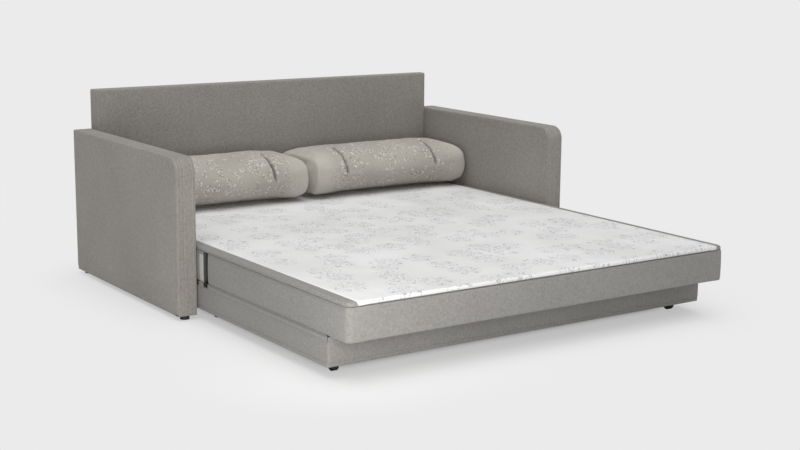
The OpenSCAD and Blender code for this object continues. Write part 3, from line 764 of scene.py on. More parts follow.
class Draft:
    """A mesh on the cutting table, from its first block to the finished piece."""

    def __init__(self) -> None:
        """Starts with nothing on the table."""
        self.mesh = bmesh.new()

    def block(self, low: Vector, high: Vector) -> None:
        """Adds a box.

        Args:
            low: Its lowest corner.
            high: Its highest corner.
        """
        verts = bmesh.ops.create_cube(self.mesh, size=1.0)["verts"]
        bmesh.ops.scale(self.mesh, vec=high - low, verts=verts)
        bmesh.ops.translate(self.mesh, vec=(low + high) / 2, verts=verts)

    def bar(self, outline: Sequence[tuple[float, float]], start: float, stop: float) -> None:
        """Adds a bar along X.

        Args:
            outline: The corners of its section, as Y and Z.
            start: X of its first end.
            stop: X of its other end.
        """
        face = self.mesh.faces.new([self.mesh.verts.new((start, y, z)) for y, z in outline])
        drawn = bmesh.ops.extrude_face_region(self.mesh, geom=[face])["geom"]
        moved = [part for part in drawn if isinstance(part, bmesh.types.BMVert)]
        bmesh.ops.translate(self.mesh, vec=(stop - start, 0, 0), verts=moved)
        bmesh.ops.recalc_face_normals(self.mesh, faces=self.mesh.faces)

    def edges_at(self, *places: tuple[Axis, float]) -> list[bmesh.types.BMEdge]:
        """Finds the edges whose two ends both lie at the given places.

        Args:
            *places: Pairs of an axis and a place on it.

        Returns:
            The edges found.
        """
        return [edge for edge in self.mesh.edges
                if all(abs(vert.co[axis.value] - place) < NEAR
                       for vert in edge.verts for axis, place in places)]

    def rounded(self, edges: Sequence[bmesh.types.BMEdge], radius: float, steps: int) -> None:
        """Rounds edges.

        Args:
            edges: The edges to round.
            radius: The radius of the rounding.
            steps: How many faces make it up.
        """
        bmesh.ops.bevel(self.mesh, geom=list(edges), offset=radius, offset_type="OFFSET", segments=steps,
                        profile=0.5, affect="EDGES", clamp_overlap=True, material=-1)
        bmesh.ops.remove_doubles(self.mesh, verts=self.mesh.verts, dist=NEAR)

    def cut(self, axis: Axis, place: float) -> None:
        """Cuts a row of edges all round, across an axis.

        Args:
            axis: The axis that the cut lies across.
            place: Where it lies on that axis.
        """
        parts = [*self.mesh.verts, *self.mesh.edges, *self.mesh.faces]
        bmesh.ops.bisect_plane(self.mesh, geom=parts, dist=NEAR, plane_co=axis.direction * place,
                               plane_no=axis.direction)

    def rows(self, axis: Axis, start: float, stop: float, spacing: float) -> None:
        """Cuts evenly spaced rows between two places.

        Args:
            axis: The axis that the rows lie across.
            start: The first end, which gets no row.
            stop: The other end, which gets no row.
            spacing: About how far apart the rows lie.
        """
        count = max(1, round((stop - start) / spacing))
        for i in range(1, count):
            self.cut(axis, start + (stop - start) * i / count)

    def seam(self, axis: Axis, place: float, width: float, depth: float, lip: float = 0.0,
             where: PlaceTest = lambda co: True) -> None:
        """Sinks a sewn seam into the surface, between two lips that it pulls up.

        Args:
            axis: The axis that the seam lies across.
            place: Where it lies on that axis.
            width: Its width.
            depth: Its depth.
            lip: How far the cloth stands up on both sides.
            where: Whether a point of it is sewn.
        """
        for share in (-2.0, -1.0, -0.5, 0.0, 0.5, 1.0, 2.0):
            self.cut(axis, place + share * width)
        self.mesh.normal_update()
        moves = []
        for vert in self.mesh.verts:
            away = abs(vert.co[axis.value] - place)
            if not where(vert.co):
                continue
            if away < NEAR:
                moves.append((vert, vert.normal * -depth))
            elif abs(away - width) < NEAR:
                moves.append((vert, vert.normal * lip))
        for vert, move in moves:
            vert.co += move

    def swell(self, rise: Callable[[Vector, Vector], float]) -> None:
        """Moves every point along its own normal.

        Args:
            rise: How far a point moves, from its place and its normal.
        """
        self.mesh.normal_update()
        moves = [(vert, vert.normal * rise(vert.co, vert.normal)) for vert in self.mesh.verts]
        for vert, move in moves:
            vert.co += move

    def finish(self, name: str, looks: Sequence[bpy.types.Material], levels: int = 1,
               choose: Callable[[bmesh.types.BMFace], int] | None = None) -> Piece:
        """Makes the piece.

        Args:
            name: The piece's name.
            looks: Its materials.
            levels: How often its faces are divided for smoothness.
            choose: Which of the materials a face takes.

        Returns:
            The finished piece.
        """
        if choose is not None:
            for face in self.mesh.faces:
                face.material_index = choose(face)
        sheet = bpy.data.meshes.new(name)
        self.mesh.to_mesh(sheet)
        self.mesh.free()
        sheet.shade_smooth()
        for look in looks:
            sheet.materials.append(look)
        piece = bpy.data.objects.new(name, sheet)
        bpy.context.scene.collection.objects.link(piece)
        if levels:
            smoothed(piece, levels)
        return piece


def smoothed(piece: Piece, levels: int = 1) -> None:
    """Divides a piece's faces for smoothness, as its last step.

    Args:
        piece: The piece.
        levels: How often its faces are divided.
    """
    smoothing = piece.modifiers.new("smoothing", "SUBSURF")
    smoothing.levels = levels
    smoothing.render_levels = levels


def keep_rest_place(piece: Piece) -> None:
    """Notes where each point of a piece lies at rest, so that its pattern bends with it.

    Args:
        piece: The piece, with its mesh final.
    """
    points = np.array([vert.co for vert in piece.data.vertices], np.float32)
    place = piece.data.attributes.new(REST_PLACE, "FLOAT_VECTOR", "POINT")
    place.data.foreach_set("vector", points.ravel())


def ripple(co: Vector, size: float, seed: float) -> float:
    """Soft unevenness from -1 to 1 at a place, with waves of about the given size."""
    return noise.noise(Vector((co.x, co.y, co.z)) / size + Vector((seed, 2 * seed, 3 * seed)))


def settle(piece: Piece, body: str, slot: str, *stands_for: str) -> Piece:
    """Lets a piece ride on its body and hides the nodes that it stands for.

    Args:
        piece: The piece.
        body: The body that it moves with.
        slot: The name of a material slot, which is not used.
        *stands_for: The nodes that it replaces.

    Returns:
        The piece.
    """
    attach(piece, body)
    if stands_for:
        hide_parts(*stands_for)
    LOG.info("%s rides on %s", piece.name, body)
    return piece


@dataclass(frozen=True)
class Stitching:
    """Rows of short raised stitches along a path."""

    thread: bpy.types.Material
    length: float = 0.0056
    gap: float = 0.0038
    width: float = 0.0013
    proud: float = 0.0005

    def sew(self, name: str, rows: Sequence[Sequence[tuple[Vector, Vector]]]) -> Piece:
        """Sews rows of stitches as one piece.

        Args:
            name: The piece's name.
            rows: Each row's path, as points with the direction that the surface faces there.

        Returns:
            The stitches.
        """
        draft = Draft()
        for row in rows:
            carry = 0.0
            for (start, facing), (stop, _) in zip(row, row[1:]):
                run = stop - start
                if run.length < NEAR:
                    continue
                along = run.normalized()
                across = facing.cross(along).normalized()
                up = along.cross(across)
                place = carry
                while place < run.length:
                    middle = start + along * place + up * self.proud
                    turn = Matrix((along, across, up)).transposed().to_4x4()
                    size = Matrix.Diagonal((self.length / 2, self.width / 2, self.width / 2, 1.0))
                    bmesh.ops.create_icosphere(draft.mesh, subdivisions=1, radius=1.0,
                                               matrix=Matrix.Translation(middle) @ turn @ size)
                    place += self.length + self.gap
                carry = place - run.length
        return draft.finish(name, [self.thread], levels=0)


@dataclass
class Arm:
    """One arm: a padded slab under a fitted cover, banded over its front and top."""

    side: Side
    cloth: bpy.types.Material
    underside: bpy.types.Material
    stitching: Stitching
    top_front_radius: float = 0.060
    top_rear_radius: float = 0.006
    edge_radius: float = 0.0075
    band_seams: tuple[float, float] = (0.011, 0.031)
    inner_seam: float = 0.010
    seam_width: float = 0.0030
    seam_depth: float = 0.0024
    seam_lip: float = 0.0010
    beside_seam: float = 0.0042
    foot_radius: float = 0.004
    foot_height: float = 0.002
    outer_puff: float = 0.0035
    inner_puff: float = 0.0010
    row_spacing: float = 0.042

    def __post_init__(self) -> None:
        """Takes the arm's place from its cover in the frame."""
        self.low, self.high = corners(f"{self.side.value}_arm_cover")
        sign = self.side.sign
        self.outer = self.high.x if sign > 0 else self.low.x
        self.inner = self.low.x if sign > 0 else self.high.x

    def band_rows(self) -> list[float]:
        """X of the sewn rows on the band, counted from both broad faces.

        Returns:
            One X for each row.
        """
        sign = self.side.sign
        rows = [self.outer - sign * place for place in self.band_seams]
        return [*rows, self.inner + sign * self.inner_seam]

    def path(self, across: float) -> list[tuple[Vector, Vector]]:
        """The way over the band, from the foot of the front to the foot of the rear.

        Args:
            across: X of the path.

        Returns:
            Points and the direction that the band faces there.
        """
        radius = self.top_front_radius
        centre = Vector((across, self.low.y + radius, self.high.z - radius))
        front, top, rear = Vector((0, -1, 0)), Vector((0, 0, 1)), Vector((0, 1, 0))
        way = [(Vector((across, self.low.y, self.low.z + self.edge_radius)), front)]
        for i in range(13):
            turn = math.radians(90 * i / 12)
            facing = Vector((0, -math.cos(turn), math.sin(turn)))
            way.append((centre + facing * radius, facing))
        way.append((Vector((across, self.high.y - self.edge_radius, self.high.z)), top))
        way.append((Vector((across, self.high.y, self.high.z - self.edge_radius)), rear))
        way.append((Vector((across, self.high.y, self.low.z + self.edge_radius)), rear))
        return way

    def rise(self, co: Vector, normal: Vector) -> float:
        """How far the padding lifts the cover at a place.

        Args:
            co: The place.
            normal: The direction that the cover faces there.

        Returns:
            The rise in metres.
        """
        middle, half = (self.low + self.high) / 2, (self.high - self.low) / 2
        full = crown((co.y - middle.y) / half.y, 6) * crown((co.z - middle.z) / half.z, 6)
        outward = normal.x * self.side.sign
        puff = self.outer_puff if outward > 0 else self.inner_puff
        uneven = 0.00045 * ripple(co, 0.11, 3.1 + self.side.sign) * full
        return puff * abs(outward) * full + (uneven if outward > -0.5 else 0.4 * uneven)

    def build(self) -> list[Piece]:
        """Makes the cover and its stitches.

        Returns:
            The pieces of the arm.
        """
        draft = Draft()
        draft.block(self.low, self.high)
        draft.rounded(draft.edges_at((Axis.Y, self.low.y), (Axis.Z, self.high.z)), self.top_front_radius, 12)
        draft.rounded(draft.edges_at((Axis.Y, self.high.y), (Axis.Z, self.high.z)), self.top_rear_radius, 3)
        outlines = draft.edges_at((Axis.X, self.low.x)) + draft.edges_at((Axis.X, self.high.x))
        draft.rounded(outlines, self.edge_radius, 3)
        draft.rounded([edge for edge in draft.edges_at((Axis.Z, self.low.z))
                       if abs(edge.verts[0].co.y - edge.verts[1].co.y) < NEAR], self.foot_radius, 2)
        draft.rows(Axis.Y, self.low.y + self.top_front_radius, self.high.y, self.row_spacing)
        draft.rows(Axis.Z, self.low.z, self.high.z - self.top_front_radius, self.row_spacing)
        sewn = self.low.z + self.foot_radius
        for place in self.band_rows():
            draft.seam(Axis.X, place, self.seam_width, self.seam_depth, self.seam_lip,
                       lambda co: co.z > sewn)
        draft.swell(self.rise)
        foot = self.low.z + self.foot_height
        cover = draft.finish(f"{self.side.value}_arm_upholstery", [self.cloth, self.underside],
                             choose=lambda face: int(max(vert.co.z for vert in face.verts) < foot))
        settle(cover, "sofa_frame", "upholstery", f"{self.side.value}_arm_cover",
               f"{self.side.value}_arm_padding")
        sign, beside = self.side.sign, self.beside_seam
        places = [self.outer - sign * (self.band_seams[0] - beside),
                  self.outer - sign * (self.band_seams[1] + beside),
                  self.inner + sign * (self.inner_seam + beside)]
        stitches = self.stitching.sew(f"{self.side.value}_arm_stitches", [self.path(x) for x in places])
        settle(stitches, "sofa_frame", "upholstery")
        return [cover, stitches]


@dataclass
class Back:
    """The thin padded back between the arms."""

    cloth: bpy.types.Material
    stitching: Stitching
    top_radius: float = 0.009
    end_radius: float = 0.005
    end_seam: float = 0.0065
    seam_width: float = 0.0028
    seam_depth: float = 0.0028
    beside_seam: float = 0.0042
    stitch_ends: tuple[float, float] = (0.010, 0.012)
    face_puff: float = 0.0030
    row_spacing: float = 0.045

    def __post_init__(self) -> None:
        """Takes the back's place from the frame."""
        self.low, self.high = corners("back_cover")
        self.face_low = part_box("back_padding")[0][2] - 0.002
        self.frame_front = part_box("back_frame")[0][1]

    def rise(self, co: Vector, normal: Vector) -> float:
        """How far the padding lifts the face of the cover at a place.

        Args:
            co: The place.
            normal: The direction that the cover faces there.

        Returns:
            The rise in metres.
        """
        middle = (self.face_low + self.high.z) / 2
        full = crown(co.x / self.high.x, 10) * crown((co.z - middle) / (self.high.z - middle), 8)
        facing = max(0.0, -normal.y)
        return (self.face_puff * facing + 0.0004 * ripple(co, 0.12, 7.7) * abs(normal.y)) * full

    def build(self) -> list[Piece]:
        """Makes the cover and the stitches along its ends and top.

        Returns:
            The pieces of the back.
        """
        front, rear = self.low.y, self.high.y
        draft = Draft()
        draft.bar([(front, self.face_low), (front, self.high.z), (rear, self.high.z), (rear, self.low.z),
                   (self.frame_front, self.low.z), (self.frame_front, self.face_low)],
                  self.low.x, self.high.x)
        tops = [draft.edges_at((Axis.Z, self.high.z), (Axis.Y, y)) for y in (front, rear)]
        draft.rounded(tops[0] + tops[1], self.top_radius, 4)
        draft.rounded(draft.edges_at((Axis.X, self.low.x)) + draft.edges_at((Axis.X, self.high.x)),
                      self.end_radius, 3)
        draft.rows(Axis.X, self.low.x, self.high.x, self.row_spacing)
        draft.rows(Axis.Z, self.face_low, self.high.z, self.row_spacing)
        for side in Side:
            end = side.sign * (self.high.x - self.end_seam)
            draft.seam(Axis.X, end, self.seam_width, self.seam_depth, 0.0,
                       lambda co: co.y < rear - 0.002)
        draft.swell(self.rise)
        cover = draft.finish("back_upholstery", [self.cloth])
        settle(cover, "sofa_frame", "upholstery", "back_cover", "back_padding")
        facing = Vector((0, -1, 0))
        face = front - self.face_puff * 0.15
        rows = []
        for side in Side:
            x = side.sign * (self.high.x - self.end_seam - self.beside_seam)
            rows.append([(Vector((x, face, self.face_low + self.stitch_ends[0])), facing),
                         (Vector((x, face, self.high.z - self.stitch_ends[1])), facing)])
        stitches = self.stitching.sew("back_stitches", rows)
        settle(stitches, "sofa_frame", "upholstery")
        return [cover, stitches]


@dataclass
class Mattress:
    """Two foam blocks under one top layer that bends at the fold."""

    border: bpy.types.Material
    bending_border: bpy.types.Material
    ticking: bpy.types.Material
    foam: bpy.types.Material
    # painted shade: dark cloth on the rear half's slot face near its ends
    painted_slot_shade: bpy.types.Material
    tab_cloth: bpy.types.Material
    skirt_cloth: bpy.types.Material
    # painted highlight: pale cloth on the rear half's side faces beside the slot
    highlight_strip_cloth: bpy.types.Material
    stitching: Stitching
    layer_height: float = 0.0215
    front_corner: float = 0.030
    rear_corner: float = 0.026
    slot_half: float = 0.018
    slot_corners: tuple[float, float] = (0.010, 0.006)
    # how far in from each side the painted slot shade reaches
    painted_shade_width: float = 0.030
    top_edge: float = 0.010
    low_edge: float = 0.006
    seam_edge: float = 0.0036
    border_width: float = 0.041
    border_drop: float = 0.0035
    quilt_edge: float = 0.007
    quilt_depth: float = 0.0105
    quilt_corner: float = 0.012
    sag: float = 0.002
    sag_width: float = 0.05
    sag_height: float = 0.035
    sag_clear: float = 0.03
    skirt_drop: float = 0.0222
    skirt_gap: float = 0.0036
    skirt_proud: float = 0.0024
    skirt_cloth_depth: float = 0.0017
    skirt_hem: float = 0.0110
    skirt_inset: float = 0.0015
    tab_foot: float = 0.1545
    tab_gap: float = 0.0001
    # how far from the slot the painted shade and the painted highlight reach, and how far below the layer
    # the highlight stops
    painted_strip_reach: tuple[float, float] = (0.004, 0.036)
    painted_strip_drop: float = 0.012
    row_spacing: float = 0.045
    fold_rows: int = 12

    def __post_init__(self) -> None:
        """Takes the two halves, the fold and the slats below from the frame."""
        rear_low, self.high = corners("mattress_rear_cover")
        self.low, front_high = corners("mattress_front_cover")
        self.fold = (rear_low.y + front_high.y) / 2
        self.layer_low = self.high.z - self.layer_height
        self.slats_high = corners("pull_out_slats")[1]

    def uneven(self, co: Vector) -> float:
        """The slight give of the foam below the cover at a place."""
        return 0.0011 * ripple(co, 0.16, 5.3) + 0.0006 * ripple(co, 0.05, 9.1)

    def droop(self, co: Vector) -> float:
        """How far the lower edge of the front half hangs where no slat carries it.

        Args:
            co: A place on the cover.

        Returns:
            The drop in metres.
        """
        beside = smooth_step((abs(co.x) - self.slats_high.x) / self.sag_width)
        low = smooth_step((self.low.z + self.sag_height - co.z) / self.sag_height)
        clear = smooth_step((self.fold - self.slot_half - co.y) / self.sag_clear)
        return self.sag * beside * low * clear

    def block_cover(self, half: Half) -> Piece:
        """Makes the boxed cover of one half, below the top layer.

        Args:
            half: Which half.

        Returns:
            The cover.
        """
        front = half is Half.FRONT
        low = Vector((self.low.x, self.low.y if front else self.fold + self.slot_half, self.low.z))
        high = Vector((self.high.x, self.fold - self.slot_half if front else self.high.y, self.layer_low))
        near, far = ((self.front_corner, self.slot_corners[1]) if front
                     else (self.slot_corners[0], self.rear_corner))
        draft = self.slab(low, high, near, far)
        draft.rounded(draft.edges_at((Axis.Z, low.z)), self.low_edge, 3)
        draft.rounded(draft.edges_at((Axis.Z, high.z)), self.seam_edge, 2)
        draft.rows(Axis.X, low.x + near, high.x - near, self.row_spacing)
        draft.rows(Axis.Y, low.y + near, high.y - far, self.row_spacing)
        draft.rows(Axis.Z, low.z + self.low_edge, high.z - self.seam_edge, 0.024)
        if not front:
            # cuts that bound the painted slot shade and the painted highlight beside it
            for place in self.painted_strip_reach:
                draft.cut(Axis.Y, low.y + place)
            for side in Side:
                draft.cut(Axis.X, side.sign * (high.x - self.painted_shade_width))
            draft.cut(Axis.Z, high.z - self.painted_strip_drop)
        middle = (low.z + high.z) / 2
        span = (high.z - low.z) / 2

        def rise(co: Vector, normal: Vector) -> float:
            """The bulge of the boxing at a place."""
            level = abs(normal.z)
            return (1 - level) * (0.0020 * crown((co.z - middle) / span) + self.uneven(co))

        draft.swell(rise)
        if front:
            for vert in draft.mesh.verts:
                vert.co.z -= self.droop(vert.co)

        def cloth_of(face: bmesh.types.BMFace) -> int:
            """Which cloth a face is made of: 0 the border, 1 dark cloth painted as the slot's shade, 2 pale
            cloth painted as the highlight beside the slot.

            Args:
                face: A face of the cover.

            Returns:
                The number of its cloth among the cover's materials.
            """
            place = face.calc_center_median()
            if front or abs(place.x) < high.x - self.painted_shade_width:
                return 0
            if place.y < low.y + self.painted_strip_reach[0]:
                return 1
            highlighted = place.y < low.y + self.painted_strip_reach[1] and abs(place.x) > high.x - 0.003
            return 2 if highlighted and place.z < high.z - self.painted_strip_drop else 0

        cover = draft.finish(f"mattress_{half.value}_boxing", [self.border, self.painted_slot_shade, self.highlight_strip_cloth],
                             choose=cloth_of)
        settle(cover, half.body, "mattress_border", f"mattress_{half.value}_cover")
        return cover

    def skirt(self, half: Half) -> Piece:
        """Makes the cloth edge below one half, which covers the slats' ends down to the base.

        Args:
            half: Which half.

        Returns:
            The edge as one piece, with a dark tab under the slot.
        """
        front = half is Half.FRONT
        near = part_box("base_front_cover")[0][1] - self.skirt_proud if front else self.fold + self.slot_half
        far = self.fold - self.slot_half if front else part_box("left_side_rail")[0][1]
        wide = self.high.x + self.skirt_proud
        low, top = self.low.z - self.skirt_drop, self.low.z - self.skirt_gap
        layers = ((self.skirt_cloth_depth, low, top), (self.skirt_hem, top - self.skirt_inset, self.low.z))
        draft = Draft()
        for depth, foot, head in layers:
            for side in Side:
                outer = side.sign * wide
                start, stop = sorted((outer, outer - side.sign * depth))
                draft.block(Vector((start, near, foot)), Vector((stop, far - self.skirt_inset, head)))
                if not front:
                    tab_near = near - 2 * self.slot_half + self.skirt_inset
                    draft.block(Vector((start, tab_near, max(foot, self.tab_foot))),
                                Vector((stop, near - self.tab_gap, head)))
            if front:
                draft.block(Vector((-wide, near, foot)), Vector((wide, near + depth, head)))
        tab_far = near - 2 * self.tab_gap
        edge = draft.finish(f"mattress_{half.value}_skirt", [self.skirt_cloth, self.tab_cloth], levels=0,
                            choose=lambda face: int(not front and face.calc_center_median().y < tab_far))
        edge.data.shade_flat()
        return settle(edge, half.body, "upholstery")

    def foam_core(self, half: Half) -> Piece:
        """Makes the foam block inside one half.

        Args:
            half: Which half.

        Returns:
            The foam block.
        """
        low, high = corners(f"mattress_{half.value}_core")
        inset = Vector((0.004, 0.004, 0.004))
        draft = Draft()
        draft.block(low + inset, Vector((high.x, high.y, self.layer_low)) - inset)
        draft.rounded(list(draft.mesh.edges), 0.008, 3)
        draft.rows(Axis.X, low.x, high.x, 0.12)
        draft.rows(Axis.Y, low.y, high.y, 0.12)
        draft.swell(lambda co, normal: 0.001 * ripple(co, 0.2, 4.0))
        core = draft.finish(f"mattress_{half.value}_foam", [self.foam])
        settle(core, half.body, "foam", f"mattress_{half.value}_core")
        return core

    def slab(self, low: Vector, high: Vector, front_radius: float, rear_radius: float) -> Draft:
        """Starts a flat slab with round upright corners.

        Args:
            low: Its lowest corner.
            high: Its highest corner.
            front_radius: The radius of the two front corners.
            rear_radius: The radius of the two rear corners.

        Returns:
            The draft of the slab.
        """
        draft = Draft()
        draft.block(low, high)
        for y, radius in ((low.y, front_radius), (high.y, rear_radius)):
            uprights = draft.edges_at((Axis.Y, y), (Axis.X, low.x)) + draft.edges_at(
                (Axis.Y, y), (Axis.X, high.x))
            draft.rounded(uprights, radius, 5)
        return draft

    def fold_cuts(self, draft: Draft, low: Vector, high: Vector, radius: float, spacing: float) -> None:
        """Cuts the rows that a bending slab needs.

        Args:
            draft: The draft of the slab.
            low: Its lowest corner.
            high: Its highest corner.
            radius: The radius that the rows stay clear of.
            spacing: The spacing of the rows away from the fold.
        """
        start, stop = self.fold - self.slot_half, self.fold + self.slot_half
        draft.rows(Axis.X, low.x + radius, high.x - radius, spacing)
        draft.rows(Axis.Y, low.y + radius, start, spacing)
        draft.rows(Axis.Y, stop, high.y - radius, spacing)
        draft.cut(Axis.Y, start)
        draft.cut(Axis.Y, stop)
        draft.rows(Axis.Y, start, stop, 2 * self.slot_half / self.fold_rows)

    def bend(self, piece: Piece) -> Piece:
        """Notes the rest place of a piece that runs across the fold, and bakes its transform.

        Args:
            piece: The piece, with its mesh final.

        Returns:
            The piece.
        """
        keep_rest_place(piece)
        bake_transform(piece)
        LOG.info("%s bends between the two halves", piece.name)
        return piece

    def top_layer(self) -> Piece:
        """Makes the bordered layer that runs across the fold.

        Returns:
            The layer.
        """
        low = Vector((self.low.x, self.low.y + self.border_drop, self.layer_low))
        high = Vector((self.high.x, self.high.y, self.high.z - self.border_drop))
        draft = self.slab(low, high, self.front_corner, self.rear_corner)
        draft.rounded(draft.edges_at((Axis.Z, high.z)), self.top_edge, 4)
        draft.rounded(draft.edges_at((Axis.Z, low.z)), self.seam_edge, 2)
        self.fold_cuts(draft, low, high, self.front_corner, self.row_spacing)
        draft.swell(lambda co, normal: (1 - abs(normal.z)) * self.uneven(co))
        layer = draft.finish("mattress_top_layer", [self.bending_border])
        self.bend(layer)
        return layer

    def quilt(self) -> Piece:
        """Makes the quilted off-white panel, which rolls over the front edge.

        Returns:
            The panel.
        """
        low = Vector((self.low.x + self.border_width, self.low.y - 0.0005, self.layer_low + 0.0012))
        high = self.high - Vector((self.border_width, self.border_width, 0))
        draft = self.slab(low, high, self.quilt_corner, self.quilt_corner)
        draft.rounded(draft.edges_at((Axis.Z, high.z)), self.quilt_edge, 3)
        self.fold_cuts(draft, low, high, self.quilt_corner, 0.023)
        for vert in draft.mesh.verts:
            if vert.co.z < low.z + NEAR and vert.co.y > low.y + self.border_width:
                vert.co.z = high.z - self.quilt_depth

        def rise(co: Vector, normal: Vector) -> float:
            """The soft hills of the quilted filling at a place.

            Args:
                co: The place.
                normal: The direction that the surface faces there.

            Returns:
                The move in metres.
            """
            if normal.z < 0.9:
                return 0.0004 * ripple(co, 0.04, 1.2)
            edge = min(high.x - abs(co.x), co.y - low.y, high.y - co.y)
            hills = 0.0016 * ripple(co, 0.075, 2.2) + 0.0009 * ripple(co, 0.24, 6.6) - 0.0011
            return hills * smooth_step(edge / 0.03)

        draft.swell(rise)
        panel = draft.finish("mattress_quilted_top", [self.ticking])
        self.bend(panel)
        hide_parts("mattress_rear_quilt", "mattress_front_quilt")
        return panel

    def boxing_stitches(self, half: Half) -> Piece:
        """Sews the row of stitches below the side seams of one half.

        Args:
            half: Which half.

        Returns:
            The stitches.
        """
        front = half is Half.FRONT
        z = self.layer_low - self.seam_edge - 0.0030
        near = self.low.y if front else self.fold + self.slot_half
        far = self.fold - self.slot_half if front else self.high.y
        rows = []
        for side in Side:
            facing = Vector((side.sign, 0, 0))
            x = side.sign * (self.high.x + 0.0006)
            rows.append([(Vector((x, near + self.front_corner, z)), facing),
                         (Vector((x, far - self.slot_corners[1], z)), facing)])
        stitches = self.stitching.sew(f"mattress_{half.value}_stitches", rows)
        return settle(stitches, half.body, "mattress_border")

    def build(self) -> list[Piece]:
        """Makes both halves, the layer over them and the quilted panel.

        Returns:
            The pieces of the mattress.
        """
        pieces = []
        for half in Half:
            pieces += [self.block_cover(half), self.foam_core(half), self.boxing_stitches(half),
                       self.skirt(half)]
        return [*pieces, self.top_layer(), self.quilt()]


@dataclass
class PullOutBase:
    """The upholstered front and sides of the base on rollers."""

    cloth: bpy.types.Material
    foam: bpy.types.Material
    stitching: Stitching
    corner: float = 0.008
    edge: float = 0.003
    rim_rise: float = 0.0015
    thickness: float = 0.0018
    flange: float = 0.014
    hem: float = 0.014
    seam_width: float = 0.0032
    seam_depth: float = 0.0018
    puff: float = 0.0020
    row_spacing: float = 0.045

    def __post_init__(self) -> None:
        """Takes the cover's place from the frame."""
        self.low, self.high = corners("base_front_cover")
        self.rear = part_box("base_left_cover")[1][1]

    def build(self) -> list[Piece]:
        """Makes the wrapped cover, its padding and the stitched hem.

        Returns:
            The pieces of the base's upholstery.
        """
        low, high = self.low.copy(), Vector((self.high.x, self.rear, self.high.z + self.rim_rise))
        draft = Draft()
        draft.block(low, high)
        outside = [face for face in draft.mesh.faces if abs(face.normal.z) > 0.5 or face.normal.y > 0.5]
        bmesh.ops.delete(draft.mesh, geom=outside, context="FACES")
        uprights = draft.edges_at((Axis.Y, low.y), (Axis.X, low.x)) + draft.edges_at(
            (Axis.Y, low.y), (Axis.X, high.x))
        draft.rounded(uprights, self.corner, 4)
        for z in (low.z, high.z):
            self.fold_in(draft, draft.edges_at((Axis.Z, z)))
        draft.rounded(self.rims(draft, low.z) + self.rims(draft, high.z), self.edge, 3)
        draft.rows(Axis.X, low.x + 0.02, high.x - 0.02, self.row_spacing)
        draft.rows(Axis.Y, low.y + 0.02, high.y, self.row_spacing)
        draft.rows(Axis.Z, low.z + self.edge, high.z - self.edge, 0.022)
        draft.seam(Axis.Z, low.z + self.hem, self.seam_width, self.seam_depth)
        middle, span = (low.z + high.z) / 2, (high.z - low.z) / 2

        def rise(co: Vector, normal: Vector) -> float:
            """The bulge of the padding and the slack of the cloth at a place.

            Args:
                co: The place.
                normal: The direction that the surface faces there.

            Returns:
                The move in metres.
            """
            level = abs(normal.z)
            front = self.puff if normal.y < -0.5 else 0.3 * self.puff
            return (1 - level) * (front * crown((co.z - middle) / span) + 0.0006 * ripple(co, 0.09, 1.4))

        draft.swell(rise)
        cover = draft.finish("base_upholstery", [self.cloth], levels=0)
        wall = cover.modifiers.new("cloth_thickness", "SOLIDIFY")
        wall.thickness = self.thickness
        wall.offset = -1.0
        smoothed(cover)
        settle(cover, "pull_out_base", "upholstery", "base_front_cover", "base_left_cover",
               "base_right_cover")
        return [cover, self.padding(), self.hem_stitches()]

    def rims(self, draft: Draft, z: float) -> list[bmesh.types.BMEdge]:
        """Finds the outer edges of the wrapped cover at a height.

        Args:
            draft: The draft of the cover.
            z: The height.

        Returns:
            The edges between the wall and the folded-in strip.
        """
        return [edge for edge in draft.edges_at((Axis.Z, z))
                if len(edge.link_faces) == 2
                and abs(edge.link_faces[0].normal.z - edge.link_faces[1].normal.z) > 0.5]

    def fold_in(self, draft: Draft, edges: Sequence[bmesh.types.BMEdge]) -> None:
        """Folds a strip of the cloth inwards from open edges.

        Args:
            draft: The draft of the cover.
            edges: The open edges along the top or the bottom.
        """
        drawn = bmesh.ops.extrude_edge_only(draft.mesh, edges=list(edges))["geom"]
        for vert in (part for part in drawn if isinstance(part, bmesh.types.BMVert)):
            side = math.copysign(1.0, vert.co.x)
            from_side = self.high.x - abs(vert.co.x)
            from_front = vert.co.y - self.low.y
            if from_side < self.corner + NEAR:
                vert.co.x -= side * (self.flange - from_side)
            if from_front < self.corner + NEAR:
                vert.co.y += self.flange - from_front
        draft.mesh.normal_update()

    def padding(self) -> Piece:
        """Makes the thin foam sheet over the front board.

        Returns:
            The foam sheet.
        """
        low, high = corners("base_front_padding")
        draft = Draft()
        draft.block(low + Vector((0.004, 0.0012, 0.003)), high - Vector((0.004, 0.0, 0.003)))
        draft.rounded(draft.edges_at((Axis.Y, low.y + 0.0012)), 0.002, 2)
        draft.rows(Axis.X, low.x, high.x, 0.15)
        sheet = draft.finish("base_front_foam", [self.foam])
        settle(sheet, "pull_out_base", "foam", "base_front_padding")
        return sheet

    def hem_stitches(self) -> Piece:
        """Sews the row of stitches along the hem.

        Returns:
            The stitches.
        """
        z = self.low.z + self.hem + 0.004
        y = self.low.y - 0.0012
        rows = [[(Vector((self.low.x + 0.015, y, z)), Vector((0, -1, 0))),
                 (Vector((self.high.x - 0.015, y, z)), Vector((0, -1, 0)))]]
        for side in Side:
            x = side.sign * (self.high.x + 0.0002)
            facing = Vector((side.sign, 0, 0))
            rows.append([(Vector((x, self.low.y + 0.015, z)), facing),
                         (Vector((x, self.rear - 0.015, z)), facing)])
        stitches = self.stitching.sew("base_hem_stitches", rows)
        return settle(stitches, "pull_out_base", "upholstery")


